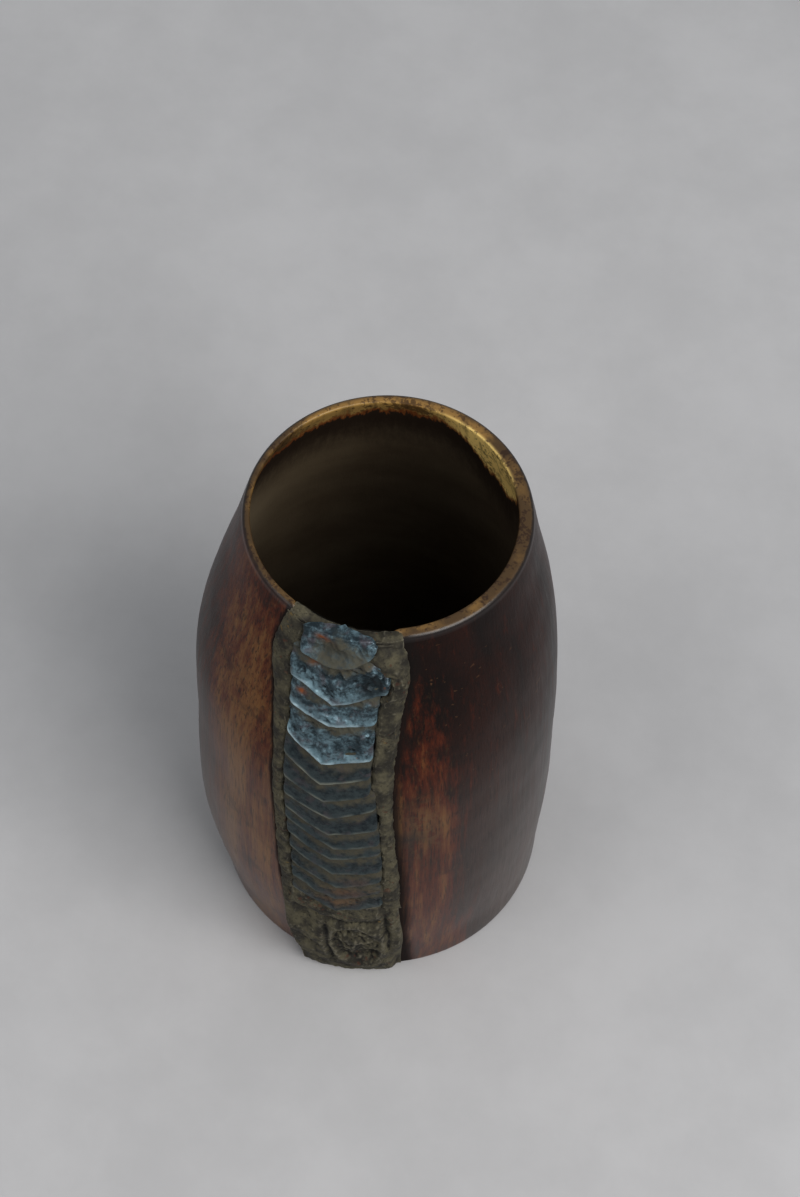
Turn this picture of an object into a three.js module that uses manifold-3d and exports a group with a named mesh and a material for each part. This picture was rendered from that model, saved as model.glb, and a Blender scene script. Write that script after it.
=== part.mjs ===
// Carved wooden milk container with a strapped and gummed crack repair.
// Millimetres, +Z up. The origin is the centre of the foot, on the surface that the vessel stands on.
// The repair runs down the front, which faces -Y, from the lip to the foot.

import * as THREE from 'three';
import { mergeVertices } from 'three/addons/utils/BufferGeometryUtils.js';
import Module from 'manifold-3d';

const wasm = await Module();
wasm.setup();

// Outline of the carved body: heights from one station to the next, and the radius at each station.
const FOOT_TO_BELLY = 50;
const BELLY_TO_WAIST = 50;
const WAIST_TO_SHOULDER = 41;
const SHOULDER_TO_NECK = 33;
const NECK_TO_LIP = 36;
const FOOT_RADIUS = 57.3;
const BELLY_RADIUS = 62;
const WAIST_RADIUS = 61;
const SHOULDER_RADIUS = 59;
const NECK_RADIUS = 52.9;
const LIP_RADIUS = 44;
const FOOT_ROUND = 1.5;
const LIP_ROUND = 1.4;

// Hollow of the body.
const BELLY_WALL = 6.5;
const LIP_WALL = 3.3;
const FLOOR_THICKNESS = 14;
const FLOOR_ROUND = 18;
const MOUTH_ROUND = 0.8;

// What carving by eye left: the body bows to one side between foot and lip, and the hollow a little
// more than that.
const BELLY_SHIFT = 2.6;
const WAIST_SHIFT = 2.5;
const SHOULDER_SHIFT = 2.6;
const NECK_SHIFT = 1.1;
const HOLLOW_SHIFT = 1.2;
const SHIFT_TURN = THREE.MathUtils.degToRad(-77);

// The crack, and the line that the repair follows, turned a little from foot to lip.
const CRACK_WIDTH = 2.6;
const CRACK_FOOT = 66;
const CRACK_TURN_AT_FOOT = THREE.MathUtils.degToRad(5.6);
const CRACK_TURN_AT_LIP = THREE.MathUtils.degToRad(-2.8);

// Sheet-metal laps. From the lip down, each one shows some of its height at the crack, its lower edge
// rises from there to its ends, and it reaches some way left and right of the crack.
const LAPS = [
  { name: 'rim_plate', shows: 12, rises: [0, 1.5], reaches: [12.3, 10.6] },
  { name: 'strap_01', shows: 13.5, rises: [5.5, 5], reaches: [15, 16] },
  { name: 'strap_02', shows: 10, rises: [3.5, 2.5], reaches: [14.6, 13.4] },
  { name: 'strap_03', shows: 17.5, rises: [8.5, 3.5], reaches: [14.8, 13.4] },
  { name: 'strap_04', shows: 10, rises: [8, 4.5], reaches: [15.2, 13.4] },
  { name: 'strap_05', shows: 9, rises: [5, 5], reaches: [15, 13.6] },
  { name: 'strap_06', shows: 9.5, rises: [4.5, 6], reaches: [15, 15.2] },
  { name: 'strap_07', shows: 11, rises: [8, 4], reaches: [15.2, 15.6] },
  { name: 'strap_08', shows: 9, rises: [10, 3], reaches: [15.4, 16] },
  { name: 'strap_09', shows: 8, rises: [8, 4], reaches: [15.2, 16] },
  { name: 'strap_10', shows: 10, rises: [8.5, 2.5], reaches: [15, 16] },
  { name: 'strap_11', shows: 9, rises: [7, 3.5], reaches: [15, 16] },
  { name: 'strap_12', shows: 9, rises: [5.5, 5], reaches: [15, 15.6] },
  { name: 'strap_13', shows: 10, rises: [6.5, 3.5], reaches: [15.4, 16] },
];
const LADDER_FOOT = 62.3;
const METAL = 1;
const LAP = 2.6;
const LAP_CREASE = 1.4;
const END_TAPER = 2.4;
const CORNER_FALL = 1.2;
const LEG_WIDTH = 3.2;
const CLINCH = 5;
const RIM_PLATE_SETBACK = 1;
const LAST_LAP_LIFT = 1.2;

// Crumpling of the laps near the lip: its depth, how far down it reaches, and its waves as radians per
// millimetre across and up. Crumpled laps have finer facets.
const CRUMPLE = 0.9;
const CRUMPLE_REACH = 54;
const CRUMPLE_WAVES = [[0.6, 0.2], [0.35, -0.28]];
const CRUMPLED_STEP = 3;
const CRUMPLED_ROWS = 4;
const PLAIN_STEP = 6;
const PLAIN_ROWS = 2;

// Mastic: the filling of the crack and of the chipped lip, the beads beside the laps, and the lump
// at the foot.
// Sections are given as shares of a width and of a height.
const SMEAR_HALF_WIDTH = 5;
const SMEAR_THICKNESS = 1.2;
const SMEAR_SECTION = [[-1, 0], [-0.8, 0.6], [0, 1], [0.8, 0.6], [1, 0]];
const LIP_FILL_HALF_WIDTH = 17.5;
const LIP_FILL_DEPTH = 3;
const STRIP_HALF_WIDTH = 20.5;
const BEAD_HEIGHT = 2.6;
const BEAD_SECTION = [[0, 0], [0, 0.6], [0.2, 0.92], [0.5, 1], [0.8, 0.75], [1, 0.2], [1, 0]];
const BEAD_SETBACK = 1.6;
const BEAD_WAVE = 0.6;
const BEAD_WAVE_LENGTH = 34;
const BEAD_STEP = 6;
const TRENCH = 1.3;
const SHOULDER_SWELL = 2;
const SHOULDER_SWELL_DROP = 18;
const SHOULDER_SWELL_REACH = 11;

// Lump at the foot: a pillow that thins towards the laps, split by a groove into two lobes, the larger
// one with a raised frame.
const LUMP_HEIGHT = 4.8;
const LUMP_TOP_HEIGHT = 1.9;
const LUMP_SIDE_HEIGHT = 0.5;
const LUMP_SIDE = 3.5;
const LUMP_FOOT_GAP = 0.4;
const LUMP_RELIEF = 1.1;
const LUMP_ROWS = [0, 0.08, 0.22, 0.42, 0.6, 0.78, 0.92, 1];
const LUMP_STEP = 3;
const LUMP_THINS_FROM = 0.55;
const GROOVE_ACROSS = -5;
const GROOVE_WIDTH = 1.8;
const FRAME_MIDDLE = 0.38;
const FRAME_STRETCH = 3.2;
const FRAME_SIZE = 0.85;
const FRAME_WIDTH = 0.22;

// Fits.
const SEAT_GAP = 0.3;
const CUT_OVERRUN = 4;

// Facets.
const SIDES = 56;
const RING_STEP = 9;
const LIP_STEP = 4.5;
const ROUND_SEGMENTS = 4;
const MOUTH_SEGMENTS = 2;
const WELD = 1e-4;

const HEIGHT = FOOT_TO_BELLY + BELLY_TO_WAIST + WAIST_TO_SHOULDER + SHOULDER_TO_NECK + NECK_TO_LIP;
const LIP_FILL_FOOT = HEIGHT - LIP_FILL_DEPTH;
const SHOULDER_TO_LIP = SHOULDER_TO_NECK + NECK_TO_LIP;
const { clamp, lerp, smoothstep } = THREE.MathUtils;

// Outline stations, foot to lip: height, radius and sideways shift.
const STATIONS = [
  { z: 0, radius: FOOT_RADIUS, shift: 0 },
  { z: FOOT_TO_BELLY, radius: BELLY_RADIUS, shift: BELLY_SHIFT },
  { z: FOOT_TO_BELLY + BELLY_TO_WAIST, radius: WAIST_RADIUS, shift: WAIST_SHIFT },
  { z: HEIGHT - SHOULDER_TO_LIP, radius: SHOULDER_RADIUS, shift: SHOULDER_SHIFT },
  { z: HEIGHT - NECK_TO_LIP, radius: NECK_RADIUS, shift: NECK_SHIFT },
  { z: HEIGHT, radius: LIP_RADIUS, shift: 0 },
];

/** Slope of a measure at a station: the chord between its neighbours. */
function stationSlope(index, measure) {
  const before = STATIONS[Math.max(index - 1, 0)];
  const after = STATIONS[Math.min(index + 1, STATIONS.length - 1)];
  return (after[measure] - before[measure]) / (after.z - before.z);
}

/** A measure at a height, on a smooth curve through the stations. */
function measureAt(z, measure) {
  const height = clamp(z, 0, HEIGHT);
  const found = STATIONS.findIndex((station) => station.z >= height);
  const upper = Math.max(found, 1);
  const low = STATIONS[upper - 1];
  const high = STATIONS[upper];
  const span = high.z - low.z;
  const t = (height - low.z) / span;
  const leave = t * (1 - t) * (1 - t) * span * stationSlope(upper - 1, measure);
  const arrive = t * t * (1 - t) * span * stationSlope(upper, measure);
  return lerp(low[measure], high[measure], smoothstep(t, 0, 1)) + leave - arrive;
}

/** Outer radius of the body at a height. */
function outerRadius(z) {
  return measureAt(z, 'radius');
}

/** Wall thickness at a height: even up to the shoulder, then thinning to the lip. */
function wallThickness(z) {
  return lerp(LIP_WALL, BELLY_WALL, clamp((HEIGHT - z) / SHOULDER_TO_LIP, 0, 1));
}

/** Unit vector in plan, turned from the front (-Y) towards +X. */
function direction(turn) {
  return new THREE.Vector2(Math.sin(turn), -Math.cos(turn));
}

/** Centre of the body's outer outline at a height. */
function axisAt(z) {
  return direction(SHIFT_TURN).multiplyScalar(measureAt(z, 'shift'));
}

/** Centre of the hollow at a height. */
function hollowAxisAt(z) {
  return axisAt(z).add(direction(SHIFT_TURN).multiplyScalar(HOLLOW_SHIFT));
}

/** Distance from the outline's centre to the hollow's wall, along a turn. */
function hollowReach(turn, z) {
  const offset = hollowAxisAt(z).sub(axisAt(z));
  const along = offset.dot(direction(turn));
  const radius = outerRadius(z) - wallThickness(z);
  return along + Math.sqrt(radius * radius - offset.lengthSq() + along * along);
}

/** Turn of the crack line at a height. */
function crackTurn(z) {
  return lerp(CRACK_TURN_AT_FOOT, CRACK_TURN_AT_LIP, z / HEIGHT);
}

/** Turn of a place that lies some way across from the crack line, measured round the body. */
function turnAt(across, z) {
  return crackTurn(z) + across / outerRadius(z);
}

/** Point at a turn, a distance from the outline's centre, a step sideways and a height. */
function pointAt(turn, reach, sideways, z) {
  const outward = direction(turn);
  const tangent = new THREE.Vector2(-outward.y, outward.x);
  const place = axisAt(z).addScaledVector(outward, reach).addScaledVector(tangent, sideways);
  return new THREE.Vector3(place.x, place.y, z);
}

/** Point on or off the outer wall: across the strip, up, and lifted from the wood. */
function onWall(across, z, lift) {
  return pointAt(turnAt(across, z), outerRadius(z) + lift, 0, z);
}

/** Point on or off the hollow's wall: across the strip, up, and lifted into the hollow. */
function inHollow(across, z, lift) {
  const turn = turnAt(across, z);
  return pointAt(turn, hollowReach(turn, z) - lift, 0, z);
}

/** Evenly spaced values from one end to the other, no further apart than a step. */
function evenly(from, to, step) {
  const count = Math.max(1, Math.ceil(Math.abs(to - from) / step));
  return Array.from({ length: count + 1 }, (unused, index) => lerp(from, to, index / count));
}

/** Triangles that close a section, wound the same way round as the section. */
function capTriangles(section) {
  const edge = section[1].clone().sub(section[0]).normalize();
  const normal = new THREE.Vector3();
  section.forEach((point, index) => {
    normal.add(point.clone().cross(section[(index + 1) % section.length]));
  });
  const side = normal.normalize().clone().cross(edge);
  const flat = section.map((point) => new THREE.Vector2(point.dot(edge), point.dot(side)));
  return THREE.ShapeUtils.triangulateShape(flat, []).map((triangle) => {
    const corners = triangle.map((index) => flat[index]);
    return THREE.ShapeUtils.area(corners) > 0 ? triangle : [...triangle].reverse();
  });
}

/** Closed solid through a row of sections with the same number of points. */
function loft(sections) {
  const count = sections[0].length;
  const positions = sections.flat().flatMap((point) => point.toArray());
  const triangles = [];
  for (let row = 0; row < sections.length - 1; row += 1) {
    for (let column = 0; column < count; column += 1) {
      const a = row * count + column;
      const b = row * count + (column + 1) % count;
      triangles.push([a, b, b + count], [a, b + count, a + count]);
    }
  }
  const last = (sections.length - 1) * count;
  capTriangles(sections[0]).forEach(([a, b, c]) => triangles.push([c, b, a]));
  capTriangles(sections.at(-1)).forEach(([a, b, c]) => triangles.push([last + a, last + b, last + c]));
  const geometry = new THREE.BufferGeometry();
  geometry.setAttribute('position', new THREE.Float32BufferAttribute(positions, 3));
  geometry.setIndex(triangles.flat());
  return facingOut(geometry);
}

/** Turns a closed solid's triangles round if they face inwards. */
function facingOut(geometry) {
  const corners = [new THREE.Vector3(), new THREE.Vector3(), new THREE.Vector3()];
  const { position } = geometry.attributes;
  const order = Array.from(geometry.index.array);
  let volume = 0;
  for (let start = 0; start < order.length; start += 3) {
    corners.forEach((corner, index) => corner.fromBufferAttribute(position, order[start + index]));
    volume += corners[0].dot(corners[1].cross(corners[2]));
  }
  geometry.setIndex(volume > 0 ? order : order.reverse());
  geometry.computeVertexNormals();
  return geometry;
}

/** Solid for cutting and joining, from a closed geometry. */
function solidFrom(geometry) {
  const bare = geometry.clone();
  bare.deleteAttribute('normal');
  bare.deleteAttribute('uv');
  const merged = mergeVertices(bare, WELD);
  const order = merged.index.array;
  const kept = [];
  for (let start = 0; start < order.length; start += 3) {
    const [a, b, c] = order.slice(start, start + 3);
    if (a !== b && b !== c && c !== a) {
      kept.push(a, b, c);
    }
  }
  return new wasm.Manifold(new wasm.Mesh({
    numProp: 3,
    vertProperties: new Float32Array(merged.attributes.position.array),
    triVerts: new Uint32Array(kept),
  }));
}

/** Geometry of a solid after cutting and joining. */
function geometryFrom(solid) {
  const mesh = solid.getMesh();
  const geometry = new THREE.BufferGeometry();
  geometry.setAttribute('position', new THREE.BufferAttribute(mesh.vertProperties, 3));
  geometry.setIndex(new THREE.BufferAttribute(mesh.triVerts, 1));
  geometry.computeVertexNormals();
  return geometry;
}

/** Turned solid from a profile of radius and height, its rings moved sideways onto a bowed axis. */
function turnedSolid(profile, axis) {
  const geometry = new THREE.LatheGeometry(profile, SIDES);
  geometry.rotateX(Math.PI / 2);
  const { position } = geometry.attributes;
  for (let index = 0; index < position.count; index += 1) {
    const centre = axis(position.getZ(index));
    position.setX(index, position.getX(index) + centre.x);
    position.setY(index, position.getY(index) + centre.y);
  }
  return solidFrom(geometry);
}

/** Quarter round of a profile about a centre, from one angle to another. */
function quarterRound(centre, radius, from, to, segments) {
  const curve = new THREE.EllipseCurve(centre.x, centre.y, radius, radius, from, to, from > to, 0);
  return curve.getPoints(segments);
}

/** Outside of the body: rounded foot, carved outline and rounded lip. */
function bodyOutside() {
  const wall = evenly(FOOT_ROUND, HEIGHT - LIP_ROUND, RING_STEP).slice(1, -1);
  const foot = new THREE.Vector2(outerRadius(FOOT_ROUND) - FOOT_ROUND, FOOT_ROUND);
  const lip = new THREE.Vector2(outerRadius(HEIGHT - LIP_ROUND) - LIP_ROUND, HEIGHT - LIP_ROUND);
  return turnedSolid([
    new THREE.Vector2(0, 0),
    ...quarterRound(foot, FOOT_ROUND, -Math.PI / 2, 0, ROUND_SEGMENTS),
    ...wall.map((z) => new THREE.Vector2(outerRadius(z), z)),
    ...quarterRound(lip, LIP_ROUND, 0, Math.PI / 2, ROUND_SEGMENTS),
    new THREE.Vector2(0, HEIGHT),
  ], axisAt);
}

/** Space inside the body: dished floor, carved wall and eased mouth, run out above the lip. */
function bodyHollow() {
  const wallRadius = (z) => outerRadius(z) - wallThickness(z);
  const floorEdge = FLOOR_THICKNESS + FLOOR_ROUND;
  const wall = evenly(floorEdge, HEIGHT - MOUTH_ROUND, RING_STEP).slice(1, -1);
  const floor = new THREE.Vector2(wallRadius(floorEdge) - FLOOR_ROUND, floorEdge);
  const mouth = new THREE.Vector2(wallRadius(HEIGHT) + MOUTH_ROUND, HEIGHT - MOUTH_ROUND);
  return turnedSolid([
    new THREE.Vector2(0, FLOOR_THICKNESS),
    ...quarterRound(floor, FLOOR_ROUND, -Math.PI / 2, 0, ROUND_SEGMENTS),
    ...wall.map((z) => new THREE.Vector2(wallRadius(z), z)),
    ...quarterRound(mouth, MOUTH_ROUND, Math.PI, Math.PI / 2, MOUTH_SEGMENTS),
    new THREE.Vector2(mouth.x, HEIGHT + CUT_OVERRUN),
    new THREE.Vector2(0, HEIGHT + CUT_OVERRUN),
  ], hollowAxisAt);
}

/** Cutter that opens the crack through the wall, from its foot to the lip. */
function crackCutter() {
  const half = CRACK_WIDTH / 2;
  return solidFrom(loft(evenly(CRACK_FOOT, HEIGHT, RING_STEP).map((z) => [
    onWall(-half, z, CUT_OVERRUN),
    onWall(half, z, CUT_OVERRUN),
    inHollow(half, z, CUT_OVERRUN),
    inHollow(-half, z, CUT_OVERRUN),
  ])));
}

/** Cutter for the chipped stretch of lip that the mastic makes good. */
function lipCutter() {
  const across = evenly(-LIP_FILL_HALF_WIDTH, LIP_FILL_HALF_WIDTH, LIP_STEP);
  return solidFrom(loft(across.map((s) => {
    const turn = turnAt(s, HEIGHT);
    const outside = LIP_RADIUS + CUT_OVERRUN;
    const inside = hollowReach(turn, HEIGHT) - CUT_OVERRUN;
    return [
      pointAt(turn, outside, 0, LIP_FILL_FOOT),
      pointAt(turn, outside, 0, HEIGHT + CUT_OVERRUN),
      pointAt(turn, inside, 0, HEIGHT + CUT_OVERRUN),
      pointAt(turn, inside, 0, LIP_FILL_FOOT),
    ];
  })));
}

/** Height that a row of laps shows at the crack, before the row is fitted between lip and foot. */
function shownBy(laps) {
  return laps.reduce((sum, lap) => sum + lap.shows, 0);
}

/** Height of a lap's lower edge at the crack. */
function lapEdge(index) {
  return lerp(HEIGHT, LADDER_FOOT, shownBy(LAPS.slice(0, index + 1)) / shownBy(LAPS));
}

/** Height of a lap's lower edge, some way across from the crack. */
function lapBottom(index, across) {
  const side = across < 0 ? 0 : 1;
  const lap = LAPS[index];
  return lapEdge(index) + lap.rises[side] * Math.abs(across) / lap.reaches[side];
}

/** Height of a lap's upper edge, tucked under the lap above and falling away beyond that lap's ends. */
function lapTop(index, across) {
  if (index === 0) {
    return HEIGHT - RIM_PLATE_SETBACK;
  }
  const covered = LAPS[index - 1].reaches[across < 0 ? 0 : 1];
  return lapBottom(index - 1, across) + LAP - CORNER_FALL * Math.max(0, Math.abs(across) - covered);
}

/** Lift that every lap takes from the crease over the crack and from its crumpling near the lip. */
function sharedLift(across, z) {
  const crease = LAP_CREASE * Math.max(0, 1 - Math.abs(across) / LAPS[1].reaches[0]);
  const fade = smoothstep(z, HEIGHT - CRUMPLE_REACH, HEIGHT - CRUMPLE_REACH / 2);
  const dents = CRUMPLE_WAVES.map(([over, up]) => 1 + Math.sin(across * over + z * up));
  return crease + CRUMPLE * fade * (dents[0] + dents[1]) / 4;
}

/** Lift of a lap's underside from the wood, before the shared lift. */
function lapUnderside(index, across, z) {
  const top = lapTop(index, across);
  const bottom = lapBottom(index, across);
  const down = (top - z) / (top - bottom);
  return lerp(SEAT_GAP, lapEdgeLift(index, across), down);
}

/** Lift of the underside at a lap's lower edge, where it rides on the lap below. */
function lapEdgeLift(index, across) {
  if (index === LAPS.length - 1) {
    return LAST_LAP_LIFT;
  }
  return lapUnderside(index + 1, across, lapBottom(index, across)) + METAL + SEAT_GAP;
}

/** Where a lap's bent end goes through the wall: side 0 is left and side 1 is right. */
function legOf(index, side) {
  const hand = side === 0 ? -1 : 1;
  const across = hand * LAPS[index].reaches[side];
  const ceiling = index === 0 ? LIP_FILL_FOOT - SEAT_GAP : lapBottom(index - 1, across);
  const middle = (lapBottom(index, across) + LAP + ceiling) / 2;
  return { hand, across, middle, turn: turnAt(across, middle) };
}

/** Section of a lap at a place across its face. */
function lapSection(index, across, fractions) {
  const [top, bottom] = [lapTop(index, across), lapBottom(index, across)];
  const heights = fractions.map((fraction) => lerp(top, bottom, fraction));
  const under = (z) => lapUnderside(index, across, z) + sharedLift(across, z);
  const outer = heights.map((z) => onWall(across, z, under(z) + METAL));
  const inner = heights.map((z) => onWall(across, z, under(z)));
  return [...outer, ...inner.reverse()];
}

/** Sections of a lap's bent end: its corner, its bend behind the wall, and its clinched tip. */
function legSections(index, side, fractions) {
  const leg = legOf(index, side);
  const heights = fractions.map((fraction) => leg.middle + LEG_WIDTH * (0.5 - fraction));
  const inset = -leg.hand * METAL;
  const under = (z) => lapUnderside(index, leg.across, z) + sharedLift(leg.across, z);
  const section = (outer, inner) => [...heights.map(outer), ...heights.map(inner).reverse()];
  const tipTurn = leg.turn - leg.hand * CLINCH / outerRadius(leg.middle);
  const behind = (turn, z, depth) => hollowReach(turn, z) - SEAT_GAP - depth;
  return [
    section(
      (z) => pointAt(leg.turn, outerRadius(z) + under(z) + METAL, 0, z),
      (z) => pointAt(leg.turn, outerRadius(z) + under(z), inset, z),
    ),
    section(
      (z) => pointAt(leg.turn, behind(leg.turn, z, METAL), 0, z),
      (z) => pointAt(leg.turn, behind(leg.turn, z, 0), inset, z),
    ),
    section(
      (z) => pointAt(tipTurn, behind(tipTurn, z, METAL), 0, z),
      (z) => pointAt(tipTurn, behind(tipTurn, z, 0), 0, z),
    ),
  ];
}

/** Whether a lap lies in the crumpled stretch. */
function isCrumpled(index) {
  return lapEdge(index) > HEIGHT - CRUMPLE_REACH;
}

/** Places across a lap's face: its tapered ends, and steps counted from the crack between them. */
function facePlaces(index) {
  const step = isCrumpled(index) ? CRUMPLED_STEP : PLAIN_STEP;
  const [left, right] = LAPS[index].reaches.map((reach) => reach - END_TAPER);
  const counts = [Math.ceil(left / step) - 1, Math.ceil(right / step) - 1];
  return [-left, ...evenly(-counts[0] * step, counts[1] * step, step), right];
}

/** One lap: its creased face between two tapered ends, each bent through the wall and clinched. */
function lapGeometry(index) {
  const fractions = evenly(0, 1, 1 / (isCrumpled(index) ? CRUMPLED_ROWS : PLAIN_ROWS));
  return loft([
    ...legSections(index, 0, fractions).reverse(),
    ...facePlaces(index).map((across) => lapSection(index, across, fractions)),
    ...legSections(index, 1, fractions),
  ]);
}

/** Cutter for the slot that a lap's bent end passes through. */
function slotCutter(index, side) {
  const leg = legOf(index, side);
  const outside = outerRadius(leg.middle) + CUT_OVERRUN;
  const inside = hollowReach(leg.turn, leg.middle) - CUT_OVERRUN;
  const slot = new THREE.BoxGeometry(METAL + 2 * SEAT_GAP, outside - inside, LEG_WIDTH + 2 * SEAT_GAP);
  slot.rotateZ(leg.turn);
  const centre = pointAt(leg.turn, (outside + inside) / 2, -leg.hand * METAL / 2, leg.middle);
  slot.translate(centre.x, centre.y, centre.z);
  return solidFrom(slot);
}

/** Carved body with its hollow, the crack, the chipped lip and the slots for the laps' ends. */
function vesselBody() {
  const slots = LAPS.flatMap((lap, index) => [slotCutter(index, 0), slotCutter(index, 1)]);
  const cuts = [bodyHollow(), lipCutter(), crackCutter(), ...slots];
  return geometryFrom(cuts.reduce((body, cut) => body.subtract(cut), bodyOutside()));
}

/** Mastic in the crack: a plug through the wall, standing up under the crease, and a smear behind. */
function crackFiller() {
  const half = CRACK_WIDTH / 2 - SEAT_GAP;
  const heights = evenly(CRACK_FOOT + SEAT_GAP, LIP_FILL_FOOT - SEAT_GAP, RING_STEP);
  const proud = LAP_CREASE * (1 - half / LAPS[1].reaches[0]);
  return loft(heights.map((z) => [
    onWall(half, z, proud),
    onWall(0, z, LAP_CREASE),
    onWall(-half, z, proud),
    inHollow(-half, z, SEAT_GAP),
    ...SMEAR_SECTION.map(([share, lift]) => (
      inHollow(share * SMEAR_HALF_WIDTH, z, SEAT_GAP + lift * SMEAR_THICKNESS)
    )),
    inHollow(half, z, SEAT_GAP),
  ]));
}

/** Mastic that makes good the chipped lip, rounded like the lip on both sides of it. */
function lipFill() {
  const half = LIP_FILL_HALF_WIDTH - SEAT_GAP;
  const foot = LIP_FILL_FOOT + SEAT_GAP;
  return loft(evenly(-half, half, LIP_STEP).map((across) => {
    const turn = turnAt(across, HEIGHT);
    const inside = hollowReach(turn, HEIGHT);
    const lip = new THREE.Vector2(outerRadius(HEIGHT - LIP_ROUND) - LIP_ROUND, HEIGHT - LIP_ROUND);
    const mouth = new THREE.Vector2(inside + MOUTH_ROUND, HEIGHT - MOUTH_ROUND);
    const section = [
      new THREE.Vector2(outerRadius(foot), foot),
      ...quarterRound(lip, LIP_ROUND, 0, Math.PI / 2, MOUTH_SEGMENTS),
      ...quarterRound(mouth, MOUTH_ROUND, Math.PI / 2, Math.PI, MOUTH_SEGMENTS),
      new THREE.Vector2(hollowReach(turn, foot), foot),
    ];
    return section.map((point) => pointAt(turn, point.x, 0, point.y));
  }));
}

/** Inner edge of a bead at a height, which keeps a trench clear of the laps' ends. */
function beadInner(side, z) {
  const knots = LAPS.map((lap, index) => ({ z: legOf(index, side).middle, reach: lap.reaches[side] }));
  const below = knots.findIndex((knot) => knot.z <= z);
  if (below === 0) {
    return knots[0].reach + TRENCH;
  }
  if (below < 0) {
    return knots.at(-1).reach + TRENCH;
  }
  const low = knots[below];
  const high = knots[below - 1];
  return lerp(low.reach, high.reach, (z - low.z) / (high.z - low.z)) + TRENCH;
}

/** Outer edge of a bead at a height: the strip's edge, a little wavy, swelling below the lip. */
function beadOuter(side, z) {
  const wave = BEAD_WAVE * Math.sin((z / BEAD_WAVE_LENGTH + side / 3) * 2 * Math.PI);
  const offset = (z - (HEIGHT - SHOULDER_SWELL_DROP)) / SHOULDER_SWELL_REACH;
  return STRIP_HALF_WIDTH + wave + SHOULDER_SWELL * Math.exp(-offset * offset);
}

/** Bead of mastic beside the laps' ends, from the lump up to the lip. */
function beadGeometry(side) {
  const hand = side === 0 ? -1 : 1;
  const foot = lumpTop(hand * STRIP_HALF_WIDTH) + SEAT_GAP;
  return loft(evenly(foot, HEIGHT - BEAD_SETBACK, BEAD_STEP).map((z) => (
    BEAD_SECTION.map(([share, lift]) => {
      const across = hand * lerp(beadInner(side, z), beadOuter(side, z), share);
      return onWall(across, z, SEAT_GAP + lift * BEAD_HEIGHT);
    })
  )));
}

/** Upper edge of the lump, just under the last lap and the beads. */
function lumpTop(across) {
  const last = LAPS.length - 1;
  const side = across < 0 ? 0 : 1;
  const held = clamp(across, -LAPS[last].reaches[0], LAPS[last].reaches[1]);
  return lapBottom(last, held) - SEAT_GAP - (Math.abs(across) > LAPS[last].reaches[side] ? LAP : 0);
}

/** Bell that is one at nought and dies away over a width. */
function bell(distance, width) {
  return Math.exp(-((distance / width) ** 2));
}

/** Lift of the lump's face from the wood, across the strip and as a share of the lump's height. */
function lumpLift(across, share) {
  const inFromSide = clamp((STRIP_HALF_WIDTH - Math.abs(across)) / LUMP_SIDE, 0, 1);
  const fullness = lerp(LUMP_SIDE_HEIGHT, 1, Math.sqrt(1 - (1 - inFromSide) ** 2));
  const lobeHalf = (STRIP_HALF_WIDTH - GROOVE_ACROSS) / 2;
  const inLobe = (across - GROOVE_ACROSS - lobeHalf) / lobeHalf;
  const ring = Math.hypot(inLobe, (share - FRAME_MIDDLE) * FRAME_STRETCH);
  const pillow = lerp(LUMP_HEIGHT, LUMP_TOP_HEIGHT, smoothstep(share, LUMP_THINS_FROM, 1));
  const relief = bell(ring - FRAME_SIZE, FRAME_WIDTH) - bell(across - GROOVE_ACROSS, GROOVE_WIDTH);
  const easedFoot = share === 0 ? 1 : 0;
  return fullness * (pillow + LUMP_RELIEF * (relief - easedFoot));
}

/** Lump of mastic at the foot, from its left side to its right. */
function footLump() {
  const middle = STRIP_HALF_WIDTH - LUMP_SIDE;
  const places = [
    ...evenly(-STRIP_HALF_WIDTH, -middle, LUMP_SIDE / 2),
    ...evenly(-middle, middle, LUMP_STEP).slice(1, -1),
    ...evenly(middle, STRIP_HALF_WIDTH, LUMP_SIDE / 2),
  ];
  return loft(places.map((across) => {
    const heightOf = (share) => lerp(LUMP_FOOT_GAP, lumpTop(across), share);
    const outer = LUMP_ROWS.map((share) => (
      onWall(across, heightOf(share), SEAT_GAP + lumpLift(across, share))
    ));
    const inner = LUMP_ROWS.map((share) => onWall(across, heightOf(share), SEAT_GAP));
    return [...outer, ...inner.reverse()];
  }));
}

const wood = { color: 0x4a2212, roughness: 0.38, metalness: 0 };
const metal = { color: 0x4d5a63, roughness: 0.5, metalness: 0.75 };
const mastic = { color: 0x4a453a, roughness: 0.85, metalness: 0 };

/** Named piece with its own material. */
function piece(name, geometry, finish) {
  const mesh = new THREE.Mesh(geometry, new THREE.MeshStandardMaterial(finish));
  mesh.name = name;
  return mesh;
}

const group = new THREE.Group();
group.add(
  piece('vessel_body', vesselBody(), wood),
  piece('crack_filler', crackFiller(), mastic),
  piece('lip_fill', lipFill(), mastic),
  ...LAPS.map((lap, index) => piece(lap.name, lapGeometry(index), metal)),
  piece('bead_left', beadGeometry(0), mastic),
  piece('bead_right', beadGeometry(1), mastic),
  piece('foot_lump', footLump(), mastic),
);

export default group;
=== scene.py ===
"""Dresses a carved wooden milk container whose long crack was mended with lapped metal and mastic.

The vessel stands on its foot at the origin, +Z up, with the repair facing -Y. Sizes in the fields
below are in millimetres, and become metres where a mesh is made.
"""

import logging
import math
from collections.abc import Callable
from dataclasses import dataclass
from enum import Enum

import bpy
import numpy as np
from mathutils import Matrix, Vector, noise


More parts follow.
